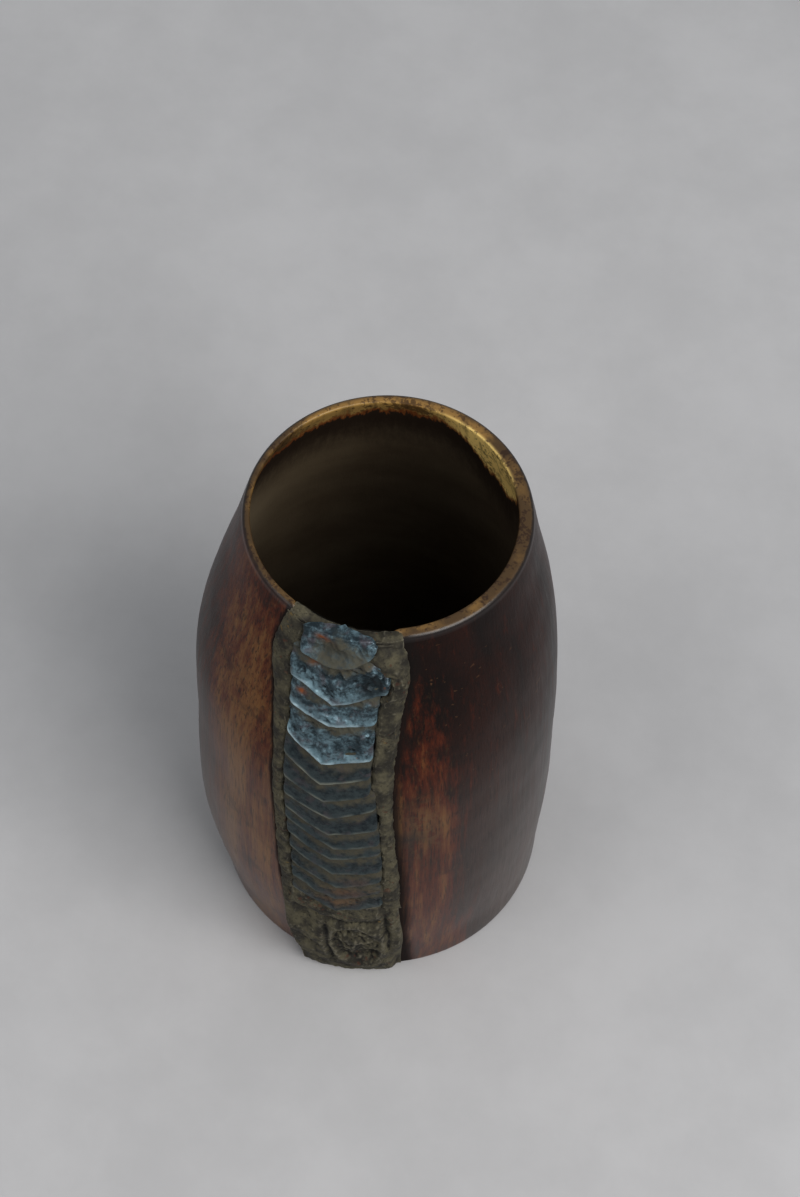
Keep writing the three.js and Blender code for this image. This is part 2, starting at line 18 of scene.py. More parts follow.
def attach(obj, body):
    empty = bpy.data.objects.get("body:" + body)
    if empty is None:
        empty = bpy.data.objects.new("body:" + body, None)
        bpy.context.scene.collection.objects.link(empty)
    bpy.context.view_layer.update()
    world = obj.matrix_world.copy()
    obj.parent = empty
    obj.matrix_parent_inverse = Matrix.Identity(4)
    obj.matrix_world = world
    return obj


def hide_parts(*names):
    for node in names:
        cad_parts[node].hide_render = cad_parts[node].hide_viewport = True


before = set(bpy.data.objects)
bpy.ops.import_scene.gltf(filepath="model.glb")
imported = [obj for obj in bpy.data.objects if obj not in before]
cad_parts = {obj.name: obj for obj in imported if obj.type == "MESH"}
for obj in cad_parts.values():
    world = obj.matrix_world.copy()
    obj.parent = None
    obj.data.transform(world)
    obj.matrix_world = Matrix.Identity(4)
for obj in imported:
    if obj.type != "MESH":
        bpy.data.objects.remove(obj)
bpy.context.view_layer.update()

LOG = logging.getLogger("milk_container")
MM = 0.001
WELD = 0.001 * MM
ROOT = "root"

Knots = tuple[tuple[float, float], ...]
Points = list[tuple[float, float]]
Colour = tuple[float, float, float, float]
Placing = Callable[[float, float], Vector]
Piece = bpy.types.Object
Socket = bpy.types.NodeSocket
Value = Socket | float | tuple[float, ...]

CREASES: Knots = ((9.0, 0.5), (4.2, 0.32), (2.1, 0.18))


class Slot(Enum):
    """The record's material slots."""

    WOOD = "wood"
    METAL = "strap_metal"
    MASTIC = "mastic"


def lerp(low: float, high: float, share: float) -> float:
    """Value at a share of the way from low to high."""
    return low + (high - low) * share


def clamp(value: float, low: float = 0.0, high: float = 1.0) -> float:
    """Value held between low and high."""
    return max(low, min(high, value))


def ease(value: float, low: float = 0.0, high: float = 1.0) -> float:
    """Smooth step from 0 at low to 1 at high."""
    share = clamp((value - low) / (high - low))
    return share * share * (3 - 2 * share)


def waver(*spot: float) -> float:
    """Uneven value between -1 and 1 that belongs to a spot given by three numbers."""
    return noise.noise(Vector(spot))


def creased(across: float, up: float, seed: float) -> float:
    """Crumpled sheet: flat facets between sharp creases, from about -0.5 to 0.5."""
    folds = 0.0
    for size, share in CREASES:
        folds += share * (1 - 3.2 * abs(waver(across / size, up / size, seed + size)))
    return folds - 0.4


def bell(distance: float, width: float) -> float:
    """Bell that is 1 at nought and dies away over a width."""
    return math.exp(-((distance / width) ** 2))


def along(knots: Knots, at: float) -> float:
    """Value at a place between knots.

    Args:
        knots: Pairs of place and value, by rising place.
        at: The place asked for.

    Returns:
        The value there, eased from knot to knot and held beyond the ends.
    """
    if at <= knots[0][0]:
        return knots[0][1]
    for (low, value), (high, after) in zip(knots, knots[1:]):
        if at <= high:
            return lerp(value, after, ease(at, low, high))
    return knots[-1][1]


def on_section(section: Knots, around: float) -> tuple[float, float]:
    """Point of a section line, from 0 at its first corner to 1 at its last, by corner number."""
    spot = around * (len(section) - 1)
    first = min(int(spot), len(section) - 2)
    (a0, b0), (a1, b1) = section[first], section[first + 1]
    return lerp(a0, a1, spot - first), lerp(b0, b1, spot - first)


def linear(red: int, green: int, blue: int) -> Colour:
    """Linear colour from display values between 0 and 255."""
    def channel(value: int) -> float:
        """One channel, taken out of the display curve."""
        share = value / 255
        return share / 12.92 if share <= 0.04045 else ((share + 0.055) / 1.055) ** 2.4
    return (channel(red), channel(green), channel(blue), 1.0)


def towards(azimuth: float, elevation: float) -> Vector:
    """Unit vector out from the vessel, by turn from its front and rise, in degrees."""
    turn, rise = math.radians(azimuth), math.radians(elevation)
    level = math.cos(rise)
    return Vector((math.sin(turn) * level, -math.cos(turn) * level, math.sin(rise)))


@dataclass(frozen=True)
class Station:
    """One height of the carved outline, with its radius and its sideways shift."""

    height: float
    radius: float
    shift: float


@dataclass(frozen=True)
class Outline:
    """The vessel's outline and hollow, as carving by eye left them."""

    stations: tuple[Station, ...] = (
        Station(0, 57.3, 0),
        Station(50, 62, 2.6),
        Station(100, 61, 2.5),
        Station(141, 59, 2.6),
        Station(174, 52.9, 1.1),
        Station(210, 44, 0),
    )
    lip_wall: float = 3.3
    belly_wall: float = 6.5
    thins_from: float = 141
    hollow_shift: float = 1.2
    shift_turn: float = math.radians(-77)
    crack_turn_at_foot: float = math.radians(5.6)
    crack_turn_at_lip: float = math.radians(-2.8)

    @property
    def height(self) -> float:
        """Height of the lip."""
        return self.stations[-1].height

    def _slope(self, index: int, name: str) -> float:
        """Slope of a measure at a station: the chord between its neighbours."""
        before = self.stations[max(index - 1, 0)]
        after = self.stations[min(index + 1, len(self.stations) - 1)]
        return (getattr(after, name) - getattr(before, name)) / (after.height - before.height)

    def _measure(self, height: float, name: str) -> float:
        """A measure at a height, on a smooth curve through the stations."""
        held = clamp(height, 0, self.height)
        upper = max(1, next(i for i, s in enumerate(self.stations) if s.height >= held))
        low, high = self.stations[upper - 1], self.stations[upper]
        span = high.height - low.height
        t = (held - low.height) / span
        leave = t * (1 - t) ** 2 * span * self._slope(upper - 1, name)
        arrive = t * t * (1 - t) * span * self._slope(upper, name)
        return lerp(getattr(low, name), getattr(high, name), ease(t)) + leave - arrive

    def radius(self, height: float) -> float:
        """Outer radius at a height."""
        return self._measure(height, "radius")

    def inner_radius(self, height: float) -> float:
        """Radius of the hollow at a height."""
        thick = clamp((self.height - height) / (self.height - self.thins_from))
        return self.radius(height) - lerp(self.lip_wall, self.belly_wall, thick)

    def centre(self, height: float, extra: float = 0.0) -> Vector:
        """Centre of the outline at a height, shifted a little further for the hollow, in mm."""
        shift = self._measure(height, "shift") + extra
        turn = self.shift_turn
        return Vector((shift * math.sin(turn), -shift * math.cos(turn), height))

    def crack_turn(self, height: float) -> float:
        """Turn of the crack line at a height, from the front towards +X."""
        return lerp(self.crack_turn_at_foot, self.crack_turn_at_lip, height / self.height)

    def turn_at(self, across: float, height: float) -> float:
        """Turn of a place that lies some way across from the crack line."""
        return self.crack_turn(height) + across / self.radius(height)

    def _out(self, turn: float, reach: float, centre: Vector) -> Vector:
        """Point at a turn and a reach from a centre, in metres."""
        step = Vector((reach * math.sin(turn), -reach * math.cos(turn), 0))
        return (centre + step) * MM

    def on_wall(self, across: float, height: float, lift: float) -> Vector:
        """Point on or off the outer wall, in metres.

        Args:
            across: Distance from the crack line round the wall, to the right.
            height: Height above the ground.
            lift: Distance out from the wood.
        """
        reach = self.radius(height) + lift
        return self._out(self.turn_at(across, height), reach, self.centre(height))

    def in_hollow(self, across: float, height: float, lift: float) -> Vector:
        """Point on the hollow's wall, or lifted from it into the hollow, in metres."""
        reach = self.inner_radius(height) - lift
        centre = self.centre(height, self.hollow_shift)
        return self._out(self.turn_at(across, height), reach, centre)


OUTLINE = Outline()


# Modelling


def deselect_all() -> None:
    """Leaves nothing selected, in object mode."""
    if bpy.context.object and bpy.context.object.mode != "OBJECT":
        bpy.ops.object.mode_set(mode="OBJECT")
    bpy.ops.object.select_all(action="DESELECT")


def finish_with(piece: Piece, kind: str, **settings: object) -> None:
    """Adds one modifier to a piece and applies it."""
    modifier = piece.modifiers.new(kind.title(), kind)
    for name, value in settings.items():
        setattr(modifier, name, value)
    bpy.context.view_layer.objects.active = piece
    bpy.ops.object.modifier_apply(modifier=modifier.name)


def roughen(piece: Piece, grain: float, depth: float, group: str = "",
            middle: float = 0.5) -> None:
    """Pushes a piece's surface in and out by a procedural pattern.

    Args:
        piece: The piece.
        grain: Size of the pattern's lumps.
        depth: How far the surface moves from low to high.
        group: Vertex group with each spot's share of the effect; none means all of it.
        middle: The pattern's level that stays in place.
    """
    texture = bpy.data.textures.new(f"{piece.name}_pattern", "CLOUDS")
    texture.noise_scale = grain * MM
    finish_with(piece, "DISPLACE", texture=texture, texture_coords="LOCAL", strength=depth * MM,
                mid_level=middle, vertex_group=group)


def wrapped_grid(name: str, columns: int, rows: int, place: Placing) -> Piece:
    """Flat grid laid on the vessel.

    Args:
        name: Name of the piece.
        columns: Number of faces across.
        rows: Number of faces up.
        place: Gives the point for a share across and a share up.

    Returns:
        The new piece. Its UV map keeps both shares.
    """
    deselect_all()
    bpy.ops.mesh.primitive_grid_add(x_subdivisions=columns, y_subdivisions=rows, size=1)
    piece = bpy.context.object
    piece.name = piece.data.name = name
    for vertex in piece.data.vertices:
        vertex.co = place(vertex.co.x + 0.5, vertex.co.y + 0.5)
    return piece


def closed_strip(name: str, around: int, length: int, place: Placing) -> Piece:
    """Solid strip: a grid rolled up into a tube along its length, with its ends filled.

    Args:
        name: Name of the piece.
        around: Number of faces round the section.
        length: Number of faces along the strip.
        place: Gives the point for a share round the section and a share along.

    Returns:
        The new piece.
    """
    piece = wrapped_grid(name, around, length, place)
    bpy.ops.object.mode_set(mode="EDIT")
    bpy.ops.mesh.select_all(action="SELECT")
    bpy.ops.mesh.remove_doubles(threshold=WELD)
    bpy.ops.mesh.select_all(action="DESELECT")
    bpy.ops.mesh.select_mode(type="EDGE")
    bpy.ops.mesh.select_non_manifold()
    bpy.ops.mesh.edge_face_add()
    bpy.ops.mesh.select_all(action="SELECT")
    bpy.ops.mesh.normals_make_consistent(inside=False)
    bpy.ops.object.mode_set(mode="OBJECT")
    return piece


def add_measures(piece: Piece, rows: list[dict[str, float]]) -> None:
    """Stores each vertex's numbers under the names that materials read."""
    for name in rows[0]:
        attribute = piece.data.attributes.new(name, "FLOAT", "POINT")
        attribute.data.foreach_set("value", [row[name] for row in rows])


def mark_relief(piece: Piece, gain: float) -> None:
    """Stores how far each vertex stands out from its neighbours: 0 in a hollow, 1 on a ridge.

    Args:
        piece: The piece.
        gain: How strongly a gentle bend counts.
    """
    mesh = piece.data
    count = len(mesh.vertices)
    places, normals = np.empty(count * 3), np.empty(count * 3)
    mesh.vertices.foreach_get("co", places)
    mesh.vertices.foreach_get("normal", normals)
    places, normals = places.reshape(-1, 3), normals.reshape(-1, 3)
    pairs = np.empty(len(mesh.edges) * 2, dtype=np.int64)
    mesh.edges.foreach_get("vertices", pairs)
    first, second = pairs.reshape(-1, 2).T
    shares = np.maximum(np.bincount(pairs, minlength=count), 1)

    def gather(at_first: np.ndarray, at_second: np.ndarray) -> np.ndarray:
        """Mean over each vertex's edges."""
        total = np.bincount(first, at_first, count) + np.bincount(second, at_second, count)
        return total / shares

    span = places[second] - places[first]
    span /= np.maximum(np.linalg.norm(span, axis=1), 1e-9)[:, None]
    bend = gather(-(span * normals[first]).sum(axis=1), (span * normals[second]).sum(axis=1))
    for _ in range(2):
        bend = 0.5 * bend + 0.5 * gather(bend[second], bend[first])
    relief = np.clip(0.5 + gain * bend, 0, 1)
    add_measures(piece, [{"relief": float(share)} for share in relief])


def settle(piece: Piece, slot: Slot, material: bpy.types.Material, *nodes: str,
           angle: float = 40.0) -> None:
    """Shades a finished piece, gives it its material and lets it stand for CAD nodes.

    Args:
        piece: The piece.
        slot: Not used.
        material: Its material.
        nodes: CAD nodes that it stands for.
        angle: Sharpest turn, in degrees, that is still shaded smooth.
    """
    deselect_all()
    piece.select_set(True)
    bpy.context.view_layer.objects.active = piece
    bpy.ops.object.shade_smooth_by_angle(angle=math.radians(angle))
    piece.data.materials.clear()
    piece.data.materials.append(material)
    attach(piece, ROOT)
    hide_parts(*nodes)
    LOG.info("%s: %d faces, stands for %s", piece.name, len(piece.data.polygons), ", ".join(nodes))


# Shading


class Shading:
    """Adds and wires nodes in one node tree."""

    def __init__(self, tree: bpy.types.NodeTree) -> None:
        """Starts with an empty tree."""
        self.tree = tree
        tree.nodes.clear()

    def add(self, kind: str, **settings: object) -> bpy.types.Node:
        """New node of a kind, with its settings."""
        node = self.tree.nodes.new(f"ShaderNode{kind}")
        for name, value in settings.items():
            setattr(node, name, value)
        return node

    def feed(self, socket: Socket, value: Value) -> None:
        """Gives a socket a value, or wires another node's output to it."""
        if isinstance(value, Socket):
            self.tree.links.new(value, socket)
        else:
            socket.default_value = value

    def math(self, operation: str, *values: Value) -> Socket:
        """Result of a maths operation."""
        node = self.add("Math", operation=operation)
        for socket, value in zip(node.inputs, values):
            self.feed(socket, value)
        return node.outputs[0]

    def times(self, *values: Value) -> Socket:
        """Product of two values."""
        return self.math("MULTIPLY", *values)

    def scaled(self, *values: Value) -> Socket:
        """A value times a second, plus a third."""
        return self.math("MULTIPLY_ADD", *values)

    def swayed(self, value: Value, pattern: Value, reach: float) -> Socket:
        """Value pushed up and down by a pattern that is level at a half."""
        return self.scaled(self.math("SUBTRACT", pattern, 0.5), reach, value)

    def step(self, value: Value, low: Value, high: Value, start: float = 0.0,
             end: float = 1.0) -> Socket:
        """Smooth step from start, where the value is low, to end, where it is high."""
        node = self.add("MapRange", interpolation_type="SMOOTHSTEP")
        for socket, item in zip(node.inputs, (value, low, high, start, end)):
            self.feed(socket, item)
        return node.outputs[0]

    def mix(self, share: Value, first: Value, second: Value) -> Socket:
        """Colour between two others."""
        node = self.add("Mix", data_type="RGBA")
        self.feed(node.inputs["Factor"], share)
        self.feed(node.inputs[6], first)
        self.feed(node.inputs[7], second)
        return node.outputs[2]

    def coats(self, colour: Value, *coats: tuple[Colour, Value, float]) -> Value:
        """Colour with coats one over another: each one's colour, its mask and its most strength."""
        for coat, mask, strength in coats:
            colour = self.mix(self.times(mask, strength), colour, coat)
        return colour

    def noise(self, vector: Value, scale: Value, detail: float = 4.0,
              roughness: float = 0.55, distortion: float = 0.0) -> Socket:
        """Value of a noise pattern."""
        node = self.add("TexNoise")
        self.feed(node.inputs["Vector"], vector)
        self.feed(node.inputs["Scale"], scale)
        node.inputs["Detail"].default_value = detail
        node.inputs["Roughness"].default_value = roughness
        node.inputs["Distortion"].default_value = distortion
        return node.outputs["Fac"]

    def place(self) -> Socket:
        """Place on the object, in metres."""
        return self.add("TexCoord").outputs["Object"]

    def stretched(self, vector: Value, scale: tuple[float, float, float],
                  turned: tuple[float, float, float] = (0, 0, 0)) -> Socket:
        """Place scaled along each axis and turned."""
        node = self.add("Mapping")
        self.feed(node.inputs["Vector"], vector)
        node.inputs["Rotation"].default_value = turned
        node.inputs["Scale"].default_value = scale
        return node.outputs["Vector"]

    def upright(self, vector: Value, scale: float) -> Socket:
        """Place scaled along its height: below 1, a pattern there is drawn out upright."""
        return self.stretched(vector, (1, 1, scale))

    def measure(self, name: str) -> Socket:
        """Number that the mesh stores under a name."""
        return self.add("Attribute", attribute_name=name).outputs["Fac"]

    def effect(self, group: bpy.types.NodeTree, **values: Value) -> Socket:
        """What a shared effect gives, placed in this tree with its own values."""
        node = self.add("Group", node_tree=group)
        for name, value in values.items():
            self.feed(node.inputs[name], value)
        return node.outputs[0]

    def bump(self, height: Value, depth: float) -> Socket:
        """Normal bent by a height of some depth in millimetres."""
        node = self.add("Bump")
        node.inputs["Strength"].default_value = 1.0
        node.inputs["Distance"].default_value = depth * MM
        self.feed(node.inputs["Height"], height)
        return node.outputs["Normal"]

    def finish(self, **sockets: object) -> None:
        """Ends a material with its shader; each name is a socket's, with _ for a space."""
        shader = self.add("BsdfPrincipled")
        for name, value in sockets.items():
            self.feed(shader.inputs[name.replace("_", " ")], value)
        output = self.add("OutputMaterial")
        self.tree.links.new(shader.outputs[0], output.inputs["Surface"])


def new_material(name: str) -> tuple[bpy.types.Material, Shading]:
    """New material, and what adds its nodes."""
    material = bpy.data.materials.new(name)
    material.use_nodes = True
    return material, Shading(material.node_tree)


class Effect:
    """A shader node group that more than one material uses."""

    def __init__(self, name: str, output: str, **inputs: float) -> None:
        """Makes the group with its sockets.

        Args:
            name: Name of the group.
            output: Name of its one output, a number.
            inputs: Its number inputs and their usual values. A Place input comes first.
        """
        self.group = bpy.data.node_groups.new(name, "ShaderNodeTree")
        face = self.group.interface
        face.new_socket("Place", in_out="INPUT", socket_type="NodeSocketVector")
        for title, value in inputs.items():
            socket = face.new_socket(title, in_out="INPUT", socket_type="NodeSocketFloat")
            socket.default_value = value
        face.new_socket(output, in_out="OUTPUT", socket_type="NodeSocketFloat")
        self.shading = Shading(self.group)
        self.source = self.group.nodes.new("NodeGroupInput").outputs

    def give(self, value: Socket) -> bpy.types.NodeTree:
        """Ends the group with what it puts out."""
        self.shading.feed(self.group.nodes.new("NodeGroupOutput").inputs[0], value)
        return self.group


def mottle_effect() -> bpy.types.NodeTree:
    """Soft cloudy mask with a set size and contrast."""
    effect = Effect("mottle", "Mask", Scale=60.0, Low=0.4, High=0.6)
    s, given = effect.shading, effect.source
    cloud = s.noise(given["Place"], given["Scale"], detail=6.0, roughness=0.6)
    return effect.give(s.step(cloud, given["Low"], given["High"]))


def specks_effect() -> bpy.types.NodeTree:
    """Scattered small spots with ragged edges."""
    effect = Effect("specks", "Mask", Scale=500.0, Cover=0.1)
    s, given = effect.shading, effect.source
    fine = s.noise(given["Place"], given["Scale"], detail=3.0, roughness=0.6)
    both = s.swayed(fine, s.noise(given["Place"], 60.0, detail=2.0), 0.5)
    low = s.math("SUBTRACT", 0.75, given["Cover"])
    return effect.give(s.step(both, low, s.math("ADD", low, 0.05)))


def crumbs_effect() -> bpy.types.NodeTree:
    """Fine uneven height, as of dust and dried gum."""
    effect = Effect("crumbs", "Height", Scale=900.0)
    s, given = effect.shading, effect.source
    fine = s.noise(given["Place"], given["Scale"], detail=5.0, roughness=0.7)
    coarse = s.noise(given["Place"], 260.0, detail=3.0)
    return effect.give(s.scaled(coarse, 1.4, fine))


@dataclass(frozen=True)
class Effects:
    """The shared effects, built once."""

    mottle: bpy.types.NodeTree
    specks: bpy.types.NodeTree
    crumbs: bpy.types.NodeTree


@dataclass(frozen=True)
class WoodFinish:
    """Smoked and oiled wood, worn warm beside the repair, with a worn lip, a sooty inside and
    painted sheen, highlight and shadow.
    """

    black: Colour = linear(22, 12, 9)
    dark: Colour = linear(42, 19, 12)
    red: Colour = linear(82, 35, 17)
    warm: Colour = linear(118, 83, 48)
    tan: Colour = linear(104, 84, 54)
    painted_sheen: Colour = linear(106, 92, 84)
    scuff: Colour = linear(150, 112, 76)
    umber: Colour = linear(84, 65, 41)
    ochre: Colour = linear(146, 115, 66)
    pale: Colour = linear(248, 218, 142)
    soot: Colour = linear(106, 94, 75)
    soot_dark: Colour = linear(70, 56, 42)
    fresh: Colour = linear(40, 27, 19)
    milky: Colour = linear(146, 134, 112)
    singed: Colour = linear(122, 66, 30)
    stain: Colour = linear(30, 25, 23)

    def _outside(self, s: Shading, place: Socket, grain: Socket, effects: Effects) -> Socket:
        """Colour of the oiled outside: warm where hands and the mend rubbed it, dark beyond, with a
        painted sheen.
        """
        broad = s.noise(s.upright(place, 0.3), 40.0, detail=5.0, distortion=0.5)
        streaks = s.noise(s.upright(place, 0.07), 170.0, detail=4.0)
        warmth = s.times(s.measure("rubbed"), s.scaled(broad, 1.5, -0.2))
        warmth = s.swayed(s.swayed(warmth, streaks, 0.6), grain, 1.15)
        ground = s.mix(s.step(broad, 0.35, 0.62), self.black, self.dark)
        reddish = s.mix(s.step(warmth, 0.05, 0.42), ground, self.red)
        colour = s.mix(s.step(warmth, 0.3, 0.75), reddish, self.warm)
        smudge = s.effect(effects.mottle, Place=s.upright(place, 1.8), Scale=70.0, Low=0.54,
                          High=0.66)
        patchy = s.noise(place, 260.0, detail=5.0, roughness=0.7)
        rubbed_bare = s.times(s.measure("tan"), s.step(patchy, 0.36, 0.56))
        smeared = s.times(s.measure("smear"), s.step(patchy, 0.3, 0.6, 0.4, 1.0))
        # Painted sheen: a grey veil in the base colour stands in for the reflection of the
        # surroundings, most towards the sides and low down.
        painted_sheen_share = s.times(s.measure("painted_sheen_share"), s.scaled(broad, 0.7, 0.65))
        return s.coats(colour, (self.black, smudge, 0.4), (self.tan, rubbed_bare, 0.6),
                       (self.stain, smeared, 0.9), (self.painted_sheen, painted_sheen_share, 1.0))

    def _marks(self, s: Shading, place: Socket, colour: Socket, effects: Effects) -> Socket:
        """Adds pores, scratches and small pale knocks to the outside."""
        pores = s.step(s.noise(s.upright(place, 0.08), 1500.0, detail=2.0), 0.52, 0.68)
        flecks = s.step(s.noise(s.upright(place, 0.16), 1100.0, detail=2.0), 0.58, 0.72)
        slant = s.stretched(place, (1.0, 0.05, 1.0), turned=(0.5, 0.35, 0.9))
        lines = s.step(s.noise(slant, 700.0, detail=1.0), 0.73, 0.77)
        knocks = s.effect(effects.specks, Place=place, Scale=150.0, Cover=0.0)
        return s.coats(colour, (self.black, pores, 0.6),
                       (self.tan, s.times(flecks, s.measure("rubbed")), 0.35),
                       (self.scuff, lines, 0.16), (self.scuff, knocks, 0.4))

    def _inside(self, s: Shading, place: Socket, grain: Socket, effects: Effects) -> Socket:
        """Colour of the lip and the inside: uncovered wood where it is worn, with a painted
        highlight on the lip's front right, soot below.
        """
        way, worn, bare_and_highlight = s.measure("way"), s.measure("worn"), s.measure("bare_and_highlight")
        teeth = s.noise(s.upright(place, 0.1), 640.0, detail=6.0, roughness=0.7)
        course = s.noise(s.upright(place, 0.3), 150.0, detail=3.0)
        both = s.scaled(course, 0.7, s.math("SUBTRACT", teeth, 0.85))
        sway = s.math("MINIMUM", s.scaled(worn, 1.7, -1.0), 12.0)
        past = s.math("SUBTRACT", s.scaled(both, sway, way), worn)
        scorched = s.times(s.step(past, -3.6, -0.4), s.step(way, 1.0, 2.6))
        dots = s.effect(effects.specks, Place=place, Scale=650.0, Cover=0.2)
        cloud = s.effect(effects.mottle, Place=place, Scale=95.0, Low=0.35, High=0.65)
        shown = s.math("ADD", bare_and_highlight, s.scaled(cloud, 0.5, -0.3))
        lifted = s.times(s.measure("pale"), s.step(way, 0.4, 1.5))
        wood = s.coats(s.mix(s.step(shown, 0.1, 0.7), self.umber, self.ochre),
                       (self.umber, s.step(way, 0.0, -1.6), 0.65), (self.pale, lifted, 1.0),
                       (self.umber, s.step(grain, 0.48, 0.7), 0.6), (self.dark, dots, 0.6),
                       (self.singed, scorched, 0.85))
        tooled = s.stretched(place, (0.7, 0.7, 1.3))
        deep = s.effect(effects.mottle, Place=tooled, Scale=55.0, Low=-0.1, High=1.1)
        below = s.math("SUBTRACT", s.scaled(teeth, 20.0, way), worn)
        # A milky lighter patch on the inner left wall, set by turn and height.
        soot = s.coats(s.mix(deep, self.soot, self.soot_dark),
                       (self.milky, s.measure("pale_inner_patch"), 0.75),
                       (self.fresh, s.step(below, 40.0, 14.0), 0.85))
        return s.mix(s.step(past, -0.6, 1.0), wood, soot)

    def build(self, effects: Effects) -> bpy.types.Material:
        """The wood's material."""
        material, s = new_material("carved_wood")
        place, way = s.place(), s.measure("way")
        grain = s.noise(s.upright(place, 0.045), 460.0, detail=6.0, roughness=0.68)
        outside = self._outside(s, place, grain, effects)
        outside = self._marks(s, place, outside, effects)
        # Stain and painted shadow: a dark band along each bead's outer edge, wider on the right.
        ragged = s.swayed(s.measure("seam"), grain, 3.0)
        stain_and_shadow = s.step(ragged, s.measure("stain_and_shadow_reach"), 0.3)
        outside = s.coats(outside, (self.stain, stain_and_shadow, 0.92))
        edge = s.swayed(way, grain, 1.6)
        colour = s.mix(s.step(edge, -2.4, -1.3), outside, self._inside(s, place, grain, effects))
        line = s.times(s.step(edge, -3.4, -2.4), s.step(edge, -1.2, -1.8))
        colour = s.coats(colour, (self.stain, line, 0.7))
        dull = s.math("MAXIMUM", s.step(way, 0.5, 3.0), stain_and_shadow)
        polish = s.times(s.measure("sheen"), s.math("SUBTRACT", 1.0, dull))
        roughness = s.scaled(dull, 0.4, s.scaled(grain, 0.22, 0.22))
        pores = s.noise(s.upright(place, 0.1), 1500.0, detail=3.0)
        normal = s.bump(s.scaled(pores, 0.5, grain), 0.12)
        lip = s.times(s.step(way, -4.0, -2.6), s.step(way, 2.0, 0.2))
        roughness = s.scaled(lip, 0.1, roughness)
        s.finish(Base_Color=colour, Roughness=roughness, Normal=normal,
                 Coat_Weight=s.scaled(lip, 0.75, polish), Coat_Roughness=0.3,
                 Specular_IOR_Level=0.14)
        return material


@dataclass(frozen=True)
class MetalFinish:
    """Sheet metal: dust under the lap above, painted shade in hollows, painted highlights on ridges
    and lower edge.
    """

    name: str
    # A lit and a shaded copy of the metal: their noise mix paints light and shade over the
    # crumples; the lit copy also shows polish near the lower edge.
    lit_and_polished: Colour
    shadowed: Colour
    # Painted highlight colour for ridges and the lower edge.
    arris: Colour
    rust: float
    dust_reach: float
    dusty: Colour = linear(80, 75, 60)
    # Painted shade colour for hollows and sunk dents.
    hollow_shade: Colour = linear(22, 27, 29)
    tarnish: Colour = linear(112, 94, 98)
    rusty: Colour = linear(132, 78, 42)

    def build(self, effects: Effects) -> bpy.types.Material:
        """The metal's material."""
        material, s = new_material(self.name)
        place = s.place()
        rise, cover = s.measure("rise"), s.measure("cover")
        relief, ridge_highlight, edge_highlight = s.measure("relief"), s.measure("ridge_highlight"), s.measure("edge_highlight")
        cloud = s.noise(place, 520.0, detail=6.0, roughness=0.7)
        wide = s.noise(place, 150.0, detail=4.0, roughness=0.6)
        specks = s.effect(effects.specks, Place=place, Scale=320.0, Cover=self.rust)
        tone = s.math("ADD", s.scaled(wide, 0.7, -0.35), cloud)
        tone = s.math("ADD", tone, s.step(rise, 5.0, 0.5, -0.06, 0.1))
        # Painted light and shade: noise mixes the lit and the shaded copy of the metal.
        metal = s.mix(s.step(tone, 0.33, 0.66), self.shadowed, self.lit_and_polished)
        tinge = s.times(s.step(s.noise(place, 230.0, detail=3.0), 0.52, 0.68), ridge_highlight)
        # Painted highlights along the lower edge and on ridges.
        bright = s.times(s.step(rise, 1.0, 0.1), edge_highlight)
        ridge = s.times(s.step(relief, 0.6, 0.85), s.times(ridge_highlight, 0.8))
        reach = s.swayed(cover, wide, 12.0)
        dust = s.times(s.step(reach, self.dust_reach, self.dust_reach * 0.35),
                      s.step(rise, 0.3, 1.0))
        grainy = s.times(dust, s.step(cloud, 0.2, 0.55))
        # Painted shade in hollows and sunk dents.
        sunk = s.math("MAXIMUM", s.step(relief, 0.44, 0.26), s.measure("pit"))
        spot = s.times(s.measure("rust"), s.step(cloud, 0.3, 0.5))
        rusted = s.math("MAXIMUM", s.times(specks, 0.7), spot)
        colour = s.coats(metal, (self.tarnish, tinge, 0.45),
                         (self.arris, s.math("MAXIMUM", bright, ridge), 1.0),
                         (self.dusty, grainy, 0.9), (self.hollow_shade, sunk, 0.8),
                         (self.rusty, rusted, 1.0))
        dull = s.math("MAXIMUM", dust, rusted)
        roughness = s.scaled(dull, 0.4, s.scaled(cloud, 0.3, 0.25))
        normal = s.bump(s.effect(effects.crumbs, Place=place, Scale=1500.0), 0.12)
        s.finish(Base_Color=colour, Metallic=s.scaled(dull, -0.6, 0.65), Roughness=roughness,
                 Normal=normal)
        return material


